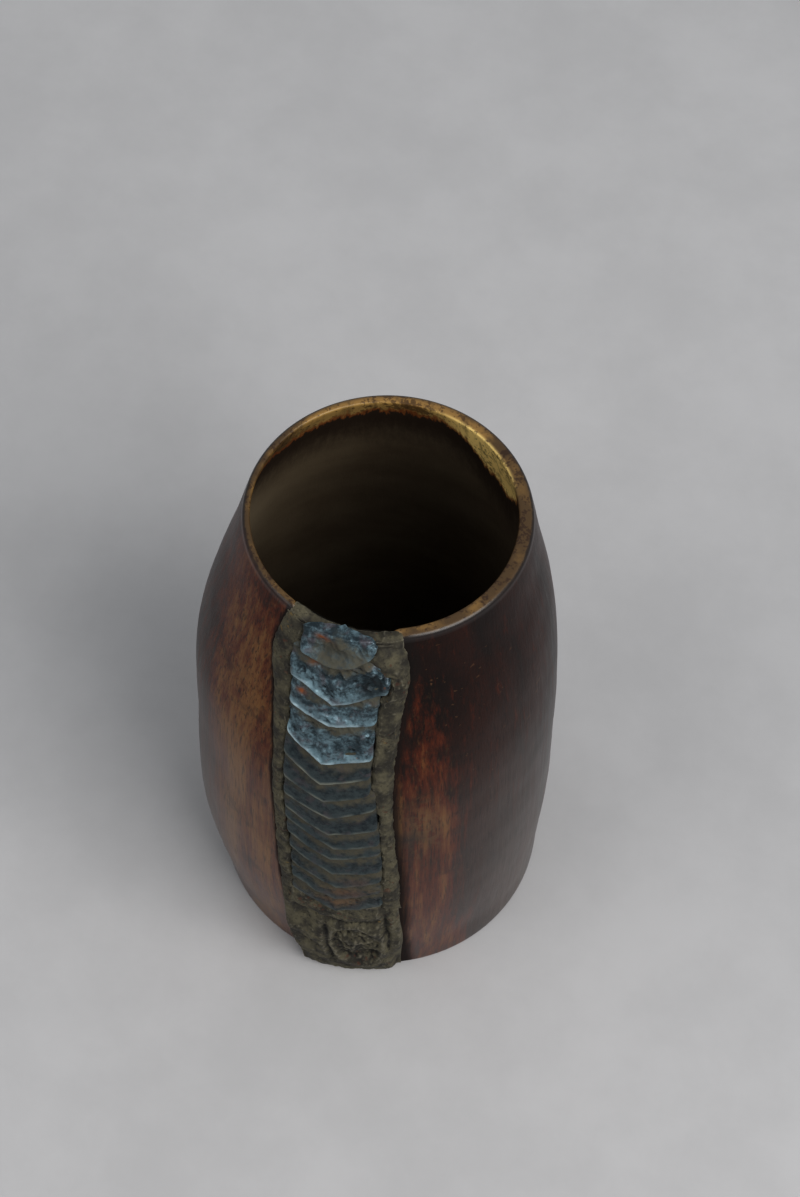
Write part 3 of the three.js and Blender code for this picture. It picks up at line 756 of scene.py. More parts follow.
@dataclass(frozen=True)
class MasticFinish:
    """Dried gum with dust trodden into it, painted shade in its hollows and rubbed on its ridges.
    """

    deep: Colour = linear(48, 45, 38)
    dusty: Colour = linear(94, 89, 72)
    rubbed: Colour = linear(122, 117, 102)
    dark: Colour = linear(22, 19, 16)
    reddish: Colour = linear(84, 50, 36)
    ochre: Colour = linear(128, 104, 58)

    def build(self, effects: Effects) -> bpy.types.Material:
        """The mastic's material."""
        material, s = new_material("dried_mastic")
        place, relief = s.place(), s.measure("relief")
        cloud = s.effect(effects.mottle, Place=place, Scale=170.0, Low=0.36, High=0.64)
        grit = s.effect(effects.specks, Place=place, Scale=1300.0, Cover=0.14)
        bits = s.effect(effects.specks, Place=place, Scale=480.0, Cover=0.08)
        chips = s.effect(effects.specks, Place=s.upright(place, 1.7), Scale=330.0, Cover=0.02)
        # Painted shade darkens the hollows, by relief.
        colour = s.coats(s.mix(cloud, self.deep, self.dusty), (self.dark, grit, 0.45),
                         (self.reddish, bits, 0.55), (self.ochre, chips, 0.6),
                         (self.rubbed, s.step(relief, 0.56, 0.8), 0.55),
                         (self.dark, s.step(relief, 0.47, 0.22), 0.9))
        crumbs = s.effect(effects.crumbs, Place=place, Scale=1100.0)
        s.finish(Base_Color=colour, Roughness=s.scaled(cloud, 0.2, 0.62),
                 Specular_IOR_Level=0.35, Normal=s.bump(crumbs, 0.22))
        return material


@dataclass(frozen=True)
class Finishes:
    """Every material of the vessel."""

    wood: bpy.types.Material
    plate: bpy.types.Material
    lap: bpy.types.Material
    mastic: bpy.types.Material

    @classmethod
    def build(cls) -> "Finishes":
        """Builds the shared effects and then the materials."""
        effects = Effects(mottle_effect(), specks_effect(), crumbs_effect())
        plate = MetalFinish("crumpled_plate", lit_and_polished=linear(118, 140, 148),
                            shadowed=linear(54, 67, 73), arris=linear(180, 198, 204),
                            rust=0.04, dust_reach=5.0)
        lap = MetalFinish("lapped_strap", lit_and_polished=linear(70, 80, 82),
                          shadowed=linear(38, 47, 52), arris=linear(136, 138, 128),
                          rust=-0.02, dust_reach=6.5)
        return cls(WoodFinish().build(effects), plate.build(effects), lap.build(effects),
                   MasticFinish().build(effects))


# The vessel


@dataclass(frozen=True)
class Ring:
    """One ring of the body: its centre and radius, and its way over the lip from its crown."""

    centre: Vector
    radius: float
    way: float


@dataclass(frozen=True)
class Patch:
    """A spot that fades outwards: its middle, how wide and tall it is, and its strength.

    It lies across from the crack line and above the ground, unless its owner measures otherwise.
    """

    across: float
    height: float
    width: float
    tall: float
    strength: float = 1.0

    def reach(self, across: float, height: float) -> float:
        """Distance from its middle, 1 where it is as wide or as tall as stated."""
        return math.hypot((across - self.across) / self.width, (height - self.height) / self.tall)

    def at(self, across: float, height: float) -> float:
        """Its strength at a place."""
        return self.strength * bell(self.reach(across, height), 1.0)


@dataclass
class VesselBody:
    """The carved body: foot, bowed wall, rounded lip, hollow and dished floor.

    The worn band, the lip's wear with its painted highlight, the pale lip and the pale inner patch
    lie by turn, in degrees. Other knots run by height above the ground or by distance across from
    the crack line.
    """

    outline: Outline = OUTLINE
    sides: int = 128
    ring_step: float = 3.6
    foot_round: float = 1.5
    foot_steps: int = 4
    foot_rings: tuple[float, ...] = (14.0, 30.0, 46.0)
    lip_round: float = 1.9
    lip_steps: int = 7
    mouth_round: float = 0.8
    mouth_steps: int = 3
    floor: float = 14.0
    floor_round: float = 18.0
    floor_steps: int = 8
    floor_rings: tuple[float, ...] = (26.0, 14.0, 6.0)
    far: float = 80.0
    held_across: tuple[float, float] = (24.0, 50.0)
    held_foot: tuple[float, float] = (2.0, 20.0)
    held_lip: tuple[float, float] = (3.0, 25.0)
    worn_band: Knots = (
        (-180.0, 8.0), (-150.0, 8.2), (-120.0, 10.5), (-100.0, 6.5), (-60.0, 3.5), (60.0, 2.0),
        (112.0, 3.0), (120.0, 9.0), (128.0, 25.0), (136.0, 30.0), (147.0, 25.0), (160.0, 12.0),
        (172.0, 7.5), (180.0, 8.0),
    )
    # How worn the crown is by turn; at the front right, from 30 to 60 degrees, it is raised as a
    # painted highlight.
    lip_bare_and_highlight: Knots = (
        (-180.0, 0.85), (-140.0, 0.6), (-100.0, 0.2), (-60.0, 0.35), (-30.0, 0.15), (30.0, 0.25),
        (60.0, 0.25), (95.0, 0.06), (125.0, 0.16), (145.0, 0.38), (162.0, 0.65), (180.0, 0.85),
    )
    pale_lip: Knots = (
        (-180.0, 0.0), (-162.0, 0.12), (-140.0, 0.12), (-110.0, 0.0), (112.0, 0.0), (128.0, 0.85),
        (155.0, 1.0), (170.0, 0.35), (180.0, 0.0),
    )
    sheen: Knots = (
        (20.0, 0.44), (70.0, 0.44), (115.0, 0.26), (145.0, 0.08), (175.0, 0.02), (200.0, 0.05),
    )
    rubbed_left: Knots = ((-100, 0.12), (-60, 0.25), (-46, 0.75), (-36, 0.95), (-20, 0.95))
    rubbed_left_up: Knots = ((20, 0.95), (60, 1.0), (150, 0.95), (180, 0.88), (200, 0.6))
    rubbed_right_up: Knots = (
        (60, 0.66), (90, 0.7), (118, 0.8), (134, 0.8), (150, 0.58), (176, 0.56), (200, 0.15),
    )
    rubbed_border: Knots = ((100, 43.0), (140, 41.0), (155, 38.0), (170, 32.0), (190, 28.0))
    border_half: float = 6.0
    # Painted sheen: how strong the grey veil is, across from the crack line and by height.
    painted_sheen_across: Knots = (
        (-100, 0.5), (-57, 1.0), (-45, 0.45), (-35, 0.1), (-25, 0.0), (25, 0.0), (36, 0.0),
        (48, 0.34), (64, 0.66), (100, 0.36),
    )
    painted_sheen_up: Knots = ((0, 0.5), (60, 0.45), (100, 0.3), (128, 0.17), (150, 0.08), (175, 0.0))
    # How far the stain and painted shadow reach outside each bead, left and right.
    stain_and_shadow_reach: tuple[float, float] = (1.8, 4.8)
    tan: Patch = Patch(30.0, 112.0, 7.0, 17.0)
    smear: Patch = Patch(24.0, 107.0, 7.0, 3.8)
    # A milky lighter patch on the inner left wall.
    pale_inner_patch: Patch = Patch(-88.0, 158.0, 34.0, 24.0)
    chip_level: float = 206.8
    chip_reach: float = 16.6

    def _arc(self, radius: float, height: float, size: float, start: float, end: float,
             steps: int) -> Points:
        """Radius and height of points on an arc round a centre, without its first point."""
        turns = [math.radians(lerp(start, end, i / steps)) for i in range(1, steps + 1)]
        return [(radius + size * math.cos(t), height + size * math.sin(t)) for t in turns]

    def _wall(self, start: float, end: float, radius: Callable[[float], float]) -> Points:
        """Radius and height of points on a wall from one height to another."""
        count = round(abs(end - start) / self.ring_step)
        heights = [lerp(start, end, i / count) for i in range(1, count + 1)]
        return [(radius(height), height) for height in heights]

    def _profile(self) -> tuple[Points, Points]:
        """Radius and height of the rings outside and inside."""
        out, top = self.outline, self.outline.height
        low, high = self.foot_round, top - self.lip_round
        foot = out.radius(low) - low
        outer = [(radius, 0.0) for radius in (*self.foot_rings, foot)]
        outer += self._arc(foot, low, low, -90, 0, self.foot_steps)
        outer += self._wall(low, high, out.radius)
        outer += self._arc(out.radius(high) - self.lip_round, high, self.lip_round, 0, 90,
                           self.lip_steps)
        mouth, under = out.inner_radius(top) + self.mouth_round, top - self.mouth_round
        edge = self.floor + self.floor_round
        inner = [(mouth, top)]
        inner += self._arc(mouth, under, self.mouth_round, 90, 180, self.mouth_steps)
        inner += self._wall(under, edge, out.inner_radius)
        inner += self._arc(out.inner_radius(edge) - self.floor_round, edge, self.floor_round,
                           0, -90, self.floor_steps)
        inner += [(radius, self.floor) for radius in self.floor_rings]
        return outer, inner

    def rings(self) -> list[Ring]:
        """Every ring, from the middle of the foot up over the lip and down to the floor."""
        outer, inner = self._profile()
        hollow = self.outline.hollow_shift
        points = [(*point, 0.0) for point in outer] + [(*point, hollow) for point in inner]
        lengths = [0.0]
        for (r0, z0, _), (r1, z1, _) in zip(points, points[1:]):
            lengths.append(lengths[-1] + math.hypot(r1 - r0, z1 - z0))
        crown = (lengths[len(outer) - 1] + lengths[len(outer)]) / 2
        return [Ring(self.outline.centre(z, extra), r, length - crown)
                for (r, z, extra), length in zip(points, lengths)]

    def _shape(self, rings: list[Ring]) -> Piece:
        """Draws the rings one after another, each extruded from the last."""
        deselect_all()
        first = rings[0]
        bpy.ops.mesh.primitive_circle_add(vertices=self.sides, radius=first.radius * MM,
                                          location=first.centre * MM, fill_type="NOTHING")
        piece = bpy.context.object
        piece.name = piece.data.name = "vessel_wood"
        bpy.ops.object.transform_apply(location=True, rotation=False, scale=False)
        bpy.ops.object.mode_set(mode="EDIT")
        bpy.ops.mesh.select_mode(type="EDGE")
        bpy.ops.mesh.select_all(action="SELECT")
        for last, ring in zip(rings, rings[1:]):
            step = (ring.centre - last.centre) * MM
            size = ring.radius / last.radius
            bpy.ops.mesh.extrude_region_move(TRANSFORM_OT_translate={"value": step})
            bpy.ops.transform.resize(value=(size, size, 1.0), center_override=ring.centre * MM)
        bpy.ops.mesh.edge_face_add()
        bpy.ops.mesh.select_all(action="DESELECT")
        bpy.ops.mesh.select_non_manifold()
        bpy.ops.mesh.edge_face_add()
        bpy.ops.mesh.select_all(action="SELECT")
        bpy.ops.mesh.normals_make_consistent(inside=False)
        bpy.ops.object.mode_set(mode="OBJECT")
        return piece

    def _across(self, spot: Vector, centre: Vector) -> float:
        """Distance of a spot from the crack line round the wall."""
        turn = math.atan2(spot.x - centre.x, centre.y - spot.y)
        return (turn - self.outline.crack_turn(centre.z)) * self.outline.radius(centre.z)

    def _rubbed(self, across: float, height: float) -> float:
        """How far a spot was rubbed warm: both sides of the mend, less near the lip."""
        if across < 0:
            return along(self.rubbed_left, across) * along(self.rubbed_left_up, height)
        border = along(self.rubbed_border, height)
        within = ease(across, border + self.border_half, border - self.border_half)
        share = lerp(0.12 * ease(across, 60, 100), 1.0, within)
        return share * along(self.rubbed_right_up, height)

    def _chip_lip(self, piece: Piece, rings: list[Ring]) -> None:
        """Takes the lip down where it was chipped beside the crack; mastic makes it good."""
        for index, vertex in enumerate(piece.data.vertices):
            centre = rings[index // self.sides].centre
            across = abs(self._across(vertex.co / MM, centre))
            chipped = ease(across, self.chip_reach + 1.0, self.chip_reach - 1.5)
            if centre.z > self.chip_level and chipped > 0:
                vertex.co.z = lerp(centre.z, self.chip_level, chipped) * MM

    def _measures(self, ring: Ring, across: float, repair: "Repair") -> dict[str, float]:
        """What the wood's material reads at a place on a ring."""
        height, side = ring.centre.z, 0 if across < 0 else 1
        turn = across / self.outline.radius(height) + self.outline.crack_turn(height)
        turn = math.degrees(math.remainder(turn, math.tau))
        seam = abs(across) - repair.edge(side, height)
        return {
            "rubbed": self._rubbed(across, height),
            "painted_sheen_share": along(self.painted_sheen_across, across) * along(self.painted_sheen_up, height),
            "sheen": along(self.sheen, height),
            "stain_and_shadow_reach": self.stain_and_shadow_reach[side],
            "seam": clamp(seam, -self.far, self.far),
            "way": clamp(ring.way, -self.far, self.far),
            "worn": along(self.worn_band, turn),
            "bare_and_highlight": along(self.lip_bare_and_highlight, turn),
            "pale": along(self.pale_lip, turn),
            "pale_inner_patch": self.pale_inner_patch.at(turn, height),
            "tan": self.tan.at(across, height),
            "smear": self.smear.at(across, height),
        }

    def _mark(self, piece: Piece, rings: list[Ring], repair: "Repair") -> None:
        """Stores what the material reads, and how free each vertex is of the mend and the lip."""
        rows = []
        group = piece.vertex_groups.new(name="free")
        for index, vertex in enumerate(piece.data.vertices):
            ring = rings[index // self.sides]
            across = self._across(vertex.co / MM, ring.centre)
            rows.append(self._measures(ring, across, repair))
            free = ease(abs(across), *self.held_across) * ease(ring.centre.z, *self.held_foot)
            group.add([index], free * ease(abs(ring.way), *self.held_lip), "REPLACE")
        add_measures(piece, rows)

    def build(self, finish: bpy.types.Material, repair: "Repair") -> None:
        """Models the body and dresses it."""
        rings = self.rings()
        piece = self._shape(rings)
        self._mark(piece, rings, repair)
        self._chip_lip(piece, rings)
        finish_with(piece, "SUBSURF", levels=1, render_levels=1)
        roughen(piece, grain=38.0, depth=0.9, group="free", middle=1.0)
        settle(piece, Slot.WOOD, finish, "vessel_body")


@dataclass(frozen=True)
class Lap:
    """One sheet of the ladder.

    It shows a height at the crack, rises and reaches some way to the left and to the right, and
    turns at its vertex, which lies across from the crack line. Its dust hides what is below its
    upper edge.
    """

    name: str
    node: str
    shows: float
    rises: tuple[float, float]
    reaches: tuple[float, float]
    # Strengths of the painted highlights on ridges and along the lower edge.
    ridge_highlight: float
    edge_highlight: float
    crumple: float
    dust: float = 0.0
    vertex: float = 0.0
    dents: tuple[Patch, ...] = ()
    rust: tuple[Patch, ...] = ()


@dataclass
class Repair:
    """The mend: lapped sheets over the crack, between two beads of mastic.

    A lap's rises and reaches and the beads' edges are given for the left and for the right of the
    crack. A grid has its faces across and up.
    """

    outline: Outline = OUTLINE
    laps: tuple[Lap, ...] = (
        Lap("lip_plate", "rim_plate", 10.5, (1.0, 6.5), (12.3, 10.6),
            ridge_highlight=0.9, edge_highlight=0.0, crumple=1.1, vertex=-1.0,
            dents=(Patch(-11.0, 206.0, 2.0, 4.0, 1.3), Patch(-9.8, 201.6, 2.4, 1.4, 0.9),
                   Patch(8.0, 207.0, 1.8, 1.6, 1.0), Patch(-1.0, 204.0, 6.0, 2.6, -0.7),
                   Patch(-5.0, 206.0, 3.0, 1.6, 0.4), Patch(4.0, 201.0, 3.0, 1.2, 0.5)),
            rust=(Patch(-5.5, 207.4, 1.9, 1.1, 1.2),)),
        Lap("plate_upper", "strap_01", 15, (5.5, 5), (15, 16),
            ridge_highlight=0.9, edge_highlight=0.4, crumple=1.8, vertex=-0.3,
            dents=(Patch(11.2, 191.4, 4.0, 5.2, -1.9), Patch(8.0, 188.5, 2.6, 2.6, -0.5),
                   Patch(8.2, 200.3, 1.2, 1.1, 1.3), Patch(10.4, 199.1, 1.1, 1.1, 1.6),
                   Patch(12.4, 197.7, 1.1, 1.2, 1.9), Patch(14.2, 195.8, 1.0, 1.4, 2.2),
                   Patch(15.0, 193.4, 0.9, 1.6, 1.9), Patch(-13.2, 191.5, 2.2, 2.4, 0.8),
                   Patch(2.6, 193.5, 1.1, 2.8, 1.2), Patch(4.6, 196.5, 1.4, 1.4, 0.9),
                   Patch(-4.0, 194.0, 5.0, 1.4, -0.6)),
            rust=(Patch(-7.0, 197.0, 1.6, 1.0, 0.6),)),
        Lap("plate_middle", "strap_02", 10, (3.5, 2.5), (14.6, 13.4),
            ridge_highlight=0.9, edge_highlight=0.8, crumple=1.1, vertex=-0.8,
            dents=(Patch(-9.0, 180.5, 2.5, 1.5, 0.5), Patch(6.0, 178.5, 3.0, 1.6, -0.6)),
            rust=(Patch(-10.4, 183.4, 1.5, 0.9, 1.1),)),
        Lap("plate_lower", "strap_03", 17.5, (8.5, 3.5), (14.8, 13.4),
            ridge_highlight=0.9, edge_highlight=0.8, crumple=1.3, dust=1.0, vertex=-1.8,
            dents=(Patch(-9.0, 166.0, 2.2, 2.6, 0.6), Patch(7.0, 163.0, 3.6, 3.0, -0.7))),
        Lap("strap_a", "strap_04", 10, (8, 4.5), (15.2, 13.4),
            ridge_highlight=0.8, edge_highlight=0.9, crumple=0.3, vertex=-1.7),
        Lap("strap_b", "strap_05", 9, (5, 5), (15, 13.6),
            ridge_highlight=0.5, edge_highlight=0.9, crumple=0.3, vertex=-0.6),
        Lap("strap_c", "strap_06", 9.5, (4.5, 6), (15, 15.2),
            ridge_highlight=0.6, edge_highlight=0.9, crumple=0.3, vertex=0.8),
        Lap("strap_d", "strap_07", 11, (8, 4), (15.2, 15.6),
            ridge_highlight=0.5, edge_highlight=0.9, crumple=0.3),
        Lap("strap_e", "strap_08", 9, (10, 3), (15.4, 16),
            ridge_highlight=0.5, edge_highlight=0.8, crumple=0.4, dust=0.5, vertex=1.2),
        Lap("strap_f", "strap_09", 8, (8, 4), (15.2, 16),
            ridge_highlight=0.5, edge_highlight=0.8, crumple=0.4, dust=0.5),
        Lap("strap_g", "strap_10", 10, (8.5, 2.5), (15, 16),
            ridge_highlight=0.45, edge_highlight=0.8, crumple=0.5, dust=1.0),
        Lap("strap_h", "strap_11", 9, (7, 3.5), (15, 16),
            ridge_highlight=0.4, edge_highlight=0.7, crumple=0.8, dust=1.5, vertex=0.8,
            rust=(Patch(7.0, 84.0, 5.0, 2.0, 0.2),)),
        Lap("strap_i", "strap_12", 9, (5.5, 5), (15, 15.6),
            ridge_highlight=0.35, edge_highlight=0.6, crumple=1.1, dust=2.0, vertex=0.4,
            rust=(Patch(5.0, 76.0, 7.0, 2.6, 0.28),)),
        Lap("strap_j", "strap_13", 10, (6.5, 3.5), (15.4, 16),
            ridge_highlight=0.35, edge_highlight=0.6, crumple=1.2, dust=2.5,
            rust=(Patch(1.0, 67.5, 8.0, 2.6, 0.22),)),
    )
    plates: int = 4
    plate_grid: tuple[int, int] = (128, 80)
    lap_grid: tuple[int, int] = (120, 44)
    end_grid: tuple[int, int] = (4, 24)
    ladder_foot: float = 62.3
    metal: float = 1.0
    sheet: float = 0.85
    end_sheet: float = 0.8
    bevel: float = 0.12
    below_lip: float = 0.1
    gap: float = 0.3
    tuck: float = 2.6
    setback: float = 1.0
    under_lip: float = 5.5
    crease: float = 1.4
    last_lift: float = 1.2
    least_lift: float = 0.9
    corner: float = 1.6
    curl: float = 0.3
    fold_from: float = 0.76
    fold_bend: float = 0.3
    fold_half: float = 11.5
    leg_width: float = 3.2
    leg_through: float = 0.4
    leg_turned: float = 0.55
    clinch: float = 5.0
    lip_dulled: float = 1.2
    lip_cover: float = 7.0
    lip_dust: Patch = Patch(0.5, 203.0, 8.5, 5.5, 9.0)
    outer_edges: tuple[Knots, Knots] = (
        ((0, 20.0), (50, 20.0), (96, 20.8), (129, 20.1), (147, 19.5), (169, 21.0), (192, 23.0),
         (203, 20.5), (210, 18.2)),
        ((0, 18.0), (30, 19.5), (50, 21.2), (80, 21.2), (100, 20.2), (137, 20.0), (177, 20.2),
         (191, 21.3), (198, 21.0), (203, 19.6), (207, 18.0), (210, 17.4)),
    )

    def edge(self, side: int, height: float) -> float:
        """Distance from the crack line to a bead's outer edge: side 0 is left, 1 is right."""
        return along(self.outer_edges[side], height)

    def lap_edge(self, index: int) -> float:
        """Height of a lap's lower edge at the crack."""
        total = sum(lap.shows for lap in self.laps)
        down = sum(lap.shows for lap in self.laps[:index + 1]) / total
        return lerp(self.outline.height, self.ladder_foot, down)

    def bottom(self, index: int, across: float) -> float:
        """Height of a lap's lower edge."""
        lap = self.laps[index]
        off, side = across - lap.vertex, 0 if across < lap.vertex else 1
        leg = lap.reaches[side] + (lap.vertex if side == 0 else -lap.vertex)
        bow = 2.0 if index == 0 else 1.0
        return self.lap_edge(index) + lap.rises[side] * (abs(off) / leg) ** bow

    def top(self, index: int, across: float) -> float:
        """Height of a lap's upper edge, tucked under the lap above."""
        if index == 0:
            return self.outline.height - self.setback
        return self.bottom(index - 1, across) + self.tuck

    def under(self, index: int, across: float, height: float) -> float:
        """Lift of a lap's underside, before its crease and its dents."""
        top, bottom = self.top(index, across), self.bottom(index, across)
        return lerp(self.gap, self._edge_lift(index, across), (top - height) / (top - bottom))

    def _edge_lift(self, index: int, across: float) -> float:
        """Lift of the underside at a lap's lower edge, where it rides on the lap below."""
        if index == len(self.laps) - 1:
            return self.last_lift
        below = self.under(index + 1, across, self.bottom(index, across))
        return below + self.metal + self.gap

    def _lower_edge(self, index: int, across: float) -> float:
        """Height of a lap's lower edge with its hand-cut unevenness."""
        cut = waver(across / 6.0, index * 3.7, 0.2)
        cut += 0.5 * waver(across / 2.2, index * 3.7, 5.2)
        return self.bottom(index, across) + lerp(0.3, 0.6, ease(index, 7, 12)) * cut

    def _face(self, index: int) -> Callable[[float, float], tuple[float, float, float]]:
        """Where a lap's outer face lies: across, height and lift, by its shares across and up."""
        lap = self.laps[index]

        def place(share: float, up: float) -> tuple[float, float, float]:
            """Across, height and lift of a point of the face."""
            side = 0 if share < 0.5 else 1
            reach = lap.reaches[side] - self.gap
            reach += 0.6 * waver(up * 2.3, index * 2.9, side + 0.4)
            across = reach * (2 * share - 1)
            top, bottom = self.top(index, across), self._lower_edge(index, across)
            if index > 0:
                top = min(top, self.outline.height - self.under_lip)
            into = clamp((abs(across) - reach + self.corner) / self.corner)
            keep = math.sqrt(1 - into * into)
            drop = self.corner * (1 - keep)
            over = max(0.0, up - self.fold_from) / (1 - self.fold_from) if index == 0 else 0.0
            risen = min(1.0, up / self.fold_from) if index == 0 else up
            height = lerp(bottom + drop, top - drop, risen)
            lift = self.under(index, across, height) + self.metal
            lift += self.crease * max(0.0, 1 - abs(across - lap.vertex) / reach)
            lift += self.curl * ease(height - bottom, 1.2, 0.0)
            folds = lap.crumple * creased(across, height, index * 11.3) * ease(top - height, 0, 3)
            lift += folds * ease(height - bottom, -1.0, 2.6)
            lift += sum(dent.at(across, height) for dent in lap.dents)
            lift = max(self.least_lift, lift * lerp(0.4, 1.0, math.sqrt(keep)))
            return self._over_lip(across, height, lift, over) if over else (across, height, lift)
        return place

    def _over_lip(self, across: float, height: float, lift: float,
                  over: float) -> tuple[float, float, float]:
        """Where the lip plate lies as it folds in over the lip.

        Args:
            across: Distance from the crack line.
            height: Height of the plate's top at the wall.
            lift: Its lift there.
            over: Share of the way over the lip.
        """
        uneven = waver(across / 1.7, over * 2.0, 8.3)
        tongue = max(0.0, 1 - abs(across + 0.6) / self.fold_half) ** 0.7
        bend = min(1.0, over / self.fold_bend)
        wide = min(1.0, 3 * tongue)
        turned = 0.45 * math.sin(bend * math.pi / 2) * lerp(0.25, 1.0, wide)
        inward = 0.7 * (1 - math.cos(bend * math.pi / 2)) * wide
        onward = max(0.0, over - self.fold_bend) / (1 - self.fold_bend)
        inward += onward * tongue * (lift + 2.3 + 0.9 * uneven)
        fall = lerp(-0.1, 0.25 + 0.2 * uneven, wide) * onward
        return across, height + turned - fall, lift - inward

    def _leg(self, index: int, side: int) -> Placing:
        """Where a lap's bent end lies: through the wall, then clinched behind it."""
        lap = self.laps[index]
        hand = -1 if side == 0 else 1
        reach = lap.reaches[side]
        across = hand * reach
        ceiling = self.outline.height - 8.0 if index == 0 else self.bottom(index - 1, across)
        middle = (self.bottom(index, across) + (self.tuck if index else -2.0) + ceiling) / 2
        inner = hand * (reach - self.clinch)
        through, turned = self.leg_through, self.leg_turned

        def place(share: float, onward: float) -> Vector:
            """Point of the bent end."""
            height = middle + self.leg_width * (share - 0.5)
            outside = self.outline.on_wall(across, height, 0.8)
            bend = self.outline.in_hollow(across, height, 0.3)
            tip = self.outline.in_hollow(inner, height, 1.3)
            lifted = self.outline.in_hollow(across - hand * 0.8, height, 1.5)
            if onward < through:
                return outside.lerp(bend, onward / through)
            if onward < turned:
                return bend.lerp(lifted, (onward - through) / (turned - through))
            return lifted.lerp(tip, (onward - turned) / (1 - turned))
        return place

    def _lap_measures(self, index: int, across: float, height: float) -> dict[str, float]:
        """What the metal's material reads at a place on a lap."""
        lap = self.laps[index]
        rise = height - self._lower_edge(index, across)
        cover = self.top(index, across) - self.tuck - lap.dust - height
        if index == 0:
            rise += self.lip_dulled
            cover = self.lip_cover - self.lip_dust.at(across, height)
        # The lower edge's painted highlight is patchy, stronger at the left end and at the vertex.
        left = bell(across + lap.reaches[0] - 3.0, 4.0) + 0.6 * bell(across - lap.vertex, 3.0)
        patchy = 0.65 + 1.5 * waver(across / 3.0, index * 5.1, height / 9.0)
        # Sunk dents get painted shade.
        sunk = sum(min(0.0, dent.at(across, height)) for dent in lap.dents)
        return {
            "rise": rise,
            "cover": cover,
            "ridge_highlight": lap.ridge_highlight,
            "edge_highlight": clamp(lap.ridge_highlight * lap.edge_highlight * (patchy + 0.6 * left)),
            "pit": clamp(-sunk / 1.3 - 0.15),
            "rust": clamp(sum(spot.at(across, height) for spot in lap.rust)),
        }

    def _end(self, index: int, side: int) -> Piece:
        """Models one bent end of a lap, plain and a little dusty."""
        name = f"{self.laps[index].name}_end_{side}"
        end = wrapped_grid(name, *self.end_grid, self._leg(index, side))
        finish_with(end, "SOLIDIFY", thickness=self.metal * self.end_sheet * MM, offset=0.0)
        plain = {"rise": 4.0, "cover": 4.0, "ridge_highlight": 0.3, "edge_highlight": 0.0, "relief": 0.5,
                 "pit": 0.0, "rust": 0.0}
        add_measures(end, [plain] * len(end.data.vertices))
        return end

    def _build_lap(self, index: int, finishes: Finishes) -> None:
        """Models one lap: its face, its thickness and its two bent ends."""
        lap, face = self.laps[index], self._face(index)
        plate = index < self.plates
        grid = self.plate_grid if plate else self.lap_grid
        piece = wrapped_grid(lap.name, *grid, lambda share, up: Vector(face(share, up)))
        rows = []
        for vertex in piece.data.vertices:
            across, height, lift = vertex.co
            rows.append(self._lap_measures(index, across, height))
            vertex.co = self.outline.on_wall(across, height, lift)
        add_measures(piece, rows)
        roughen(piece, grain=1.4, depth=0.15 + 0.2 * ease(index, 8, 13))
        finish_with(piece, "SOLIDIFY", thickness=self.metal * self.sheet * MM, offset=-1.0)
        finish_with(piece, "BEVEL", width=self.bevel * MM, segments=2, limit_method="ANGLE")
        for vertex in piece.data.vertices:
            vertex.co.z = min(vertex.co.z, (self.outline.height - self.below_lip) * MM)
        mark_relief(piece, gain=1.6)
        ends = [self._end(index, side) for side in (0, 1)]
        deselect_all()
        for part in (*ends, piece):
            part.select_set(True)
        bpy.context.view_layer.objects.active = piece
        bpy.ops.object.join()
        settle(piece, Slot.METAL, finishes.plate if plate else finishes.lap, lap.node)

    def build(self, finishes: Finishes) -> None:
        """Models and dresses every lap."""
        for index in range(len(self.laps)):
            self._build_lap(index, finishes)


@dataclass(frozen=True)
class Crossing:
    """A ridge across the lump, or a fold where it is sunk.

    It lies at a share of the lump's height, which rises with each millimetre to the right.
    """

    share: float
    slant: float
    width: float
    lift: float

    def at(self, across: float, share: float) -> float:
        """Its lift at a place."""
        return self.lift * bell(share - self.share - self.slant * across, self.width)


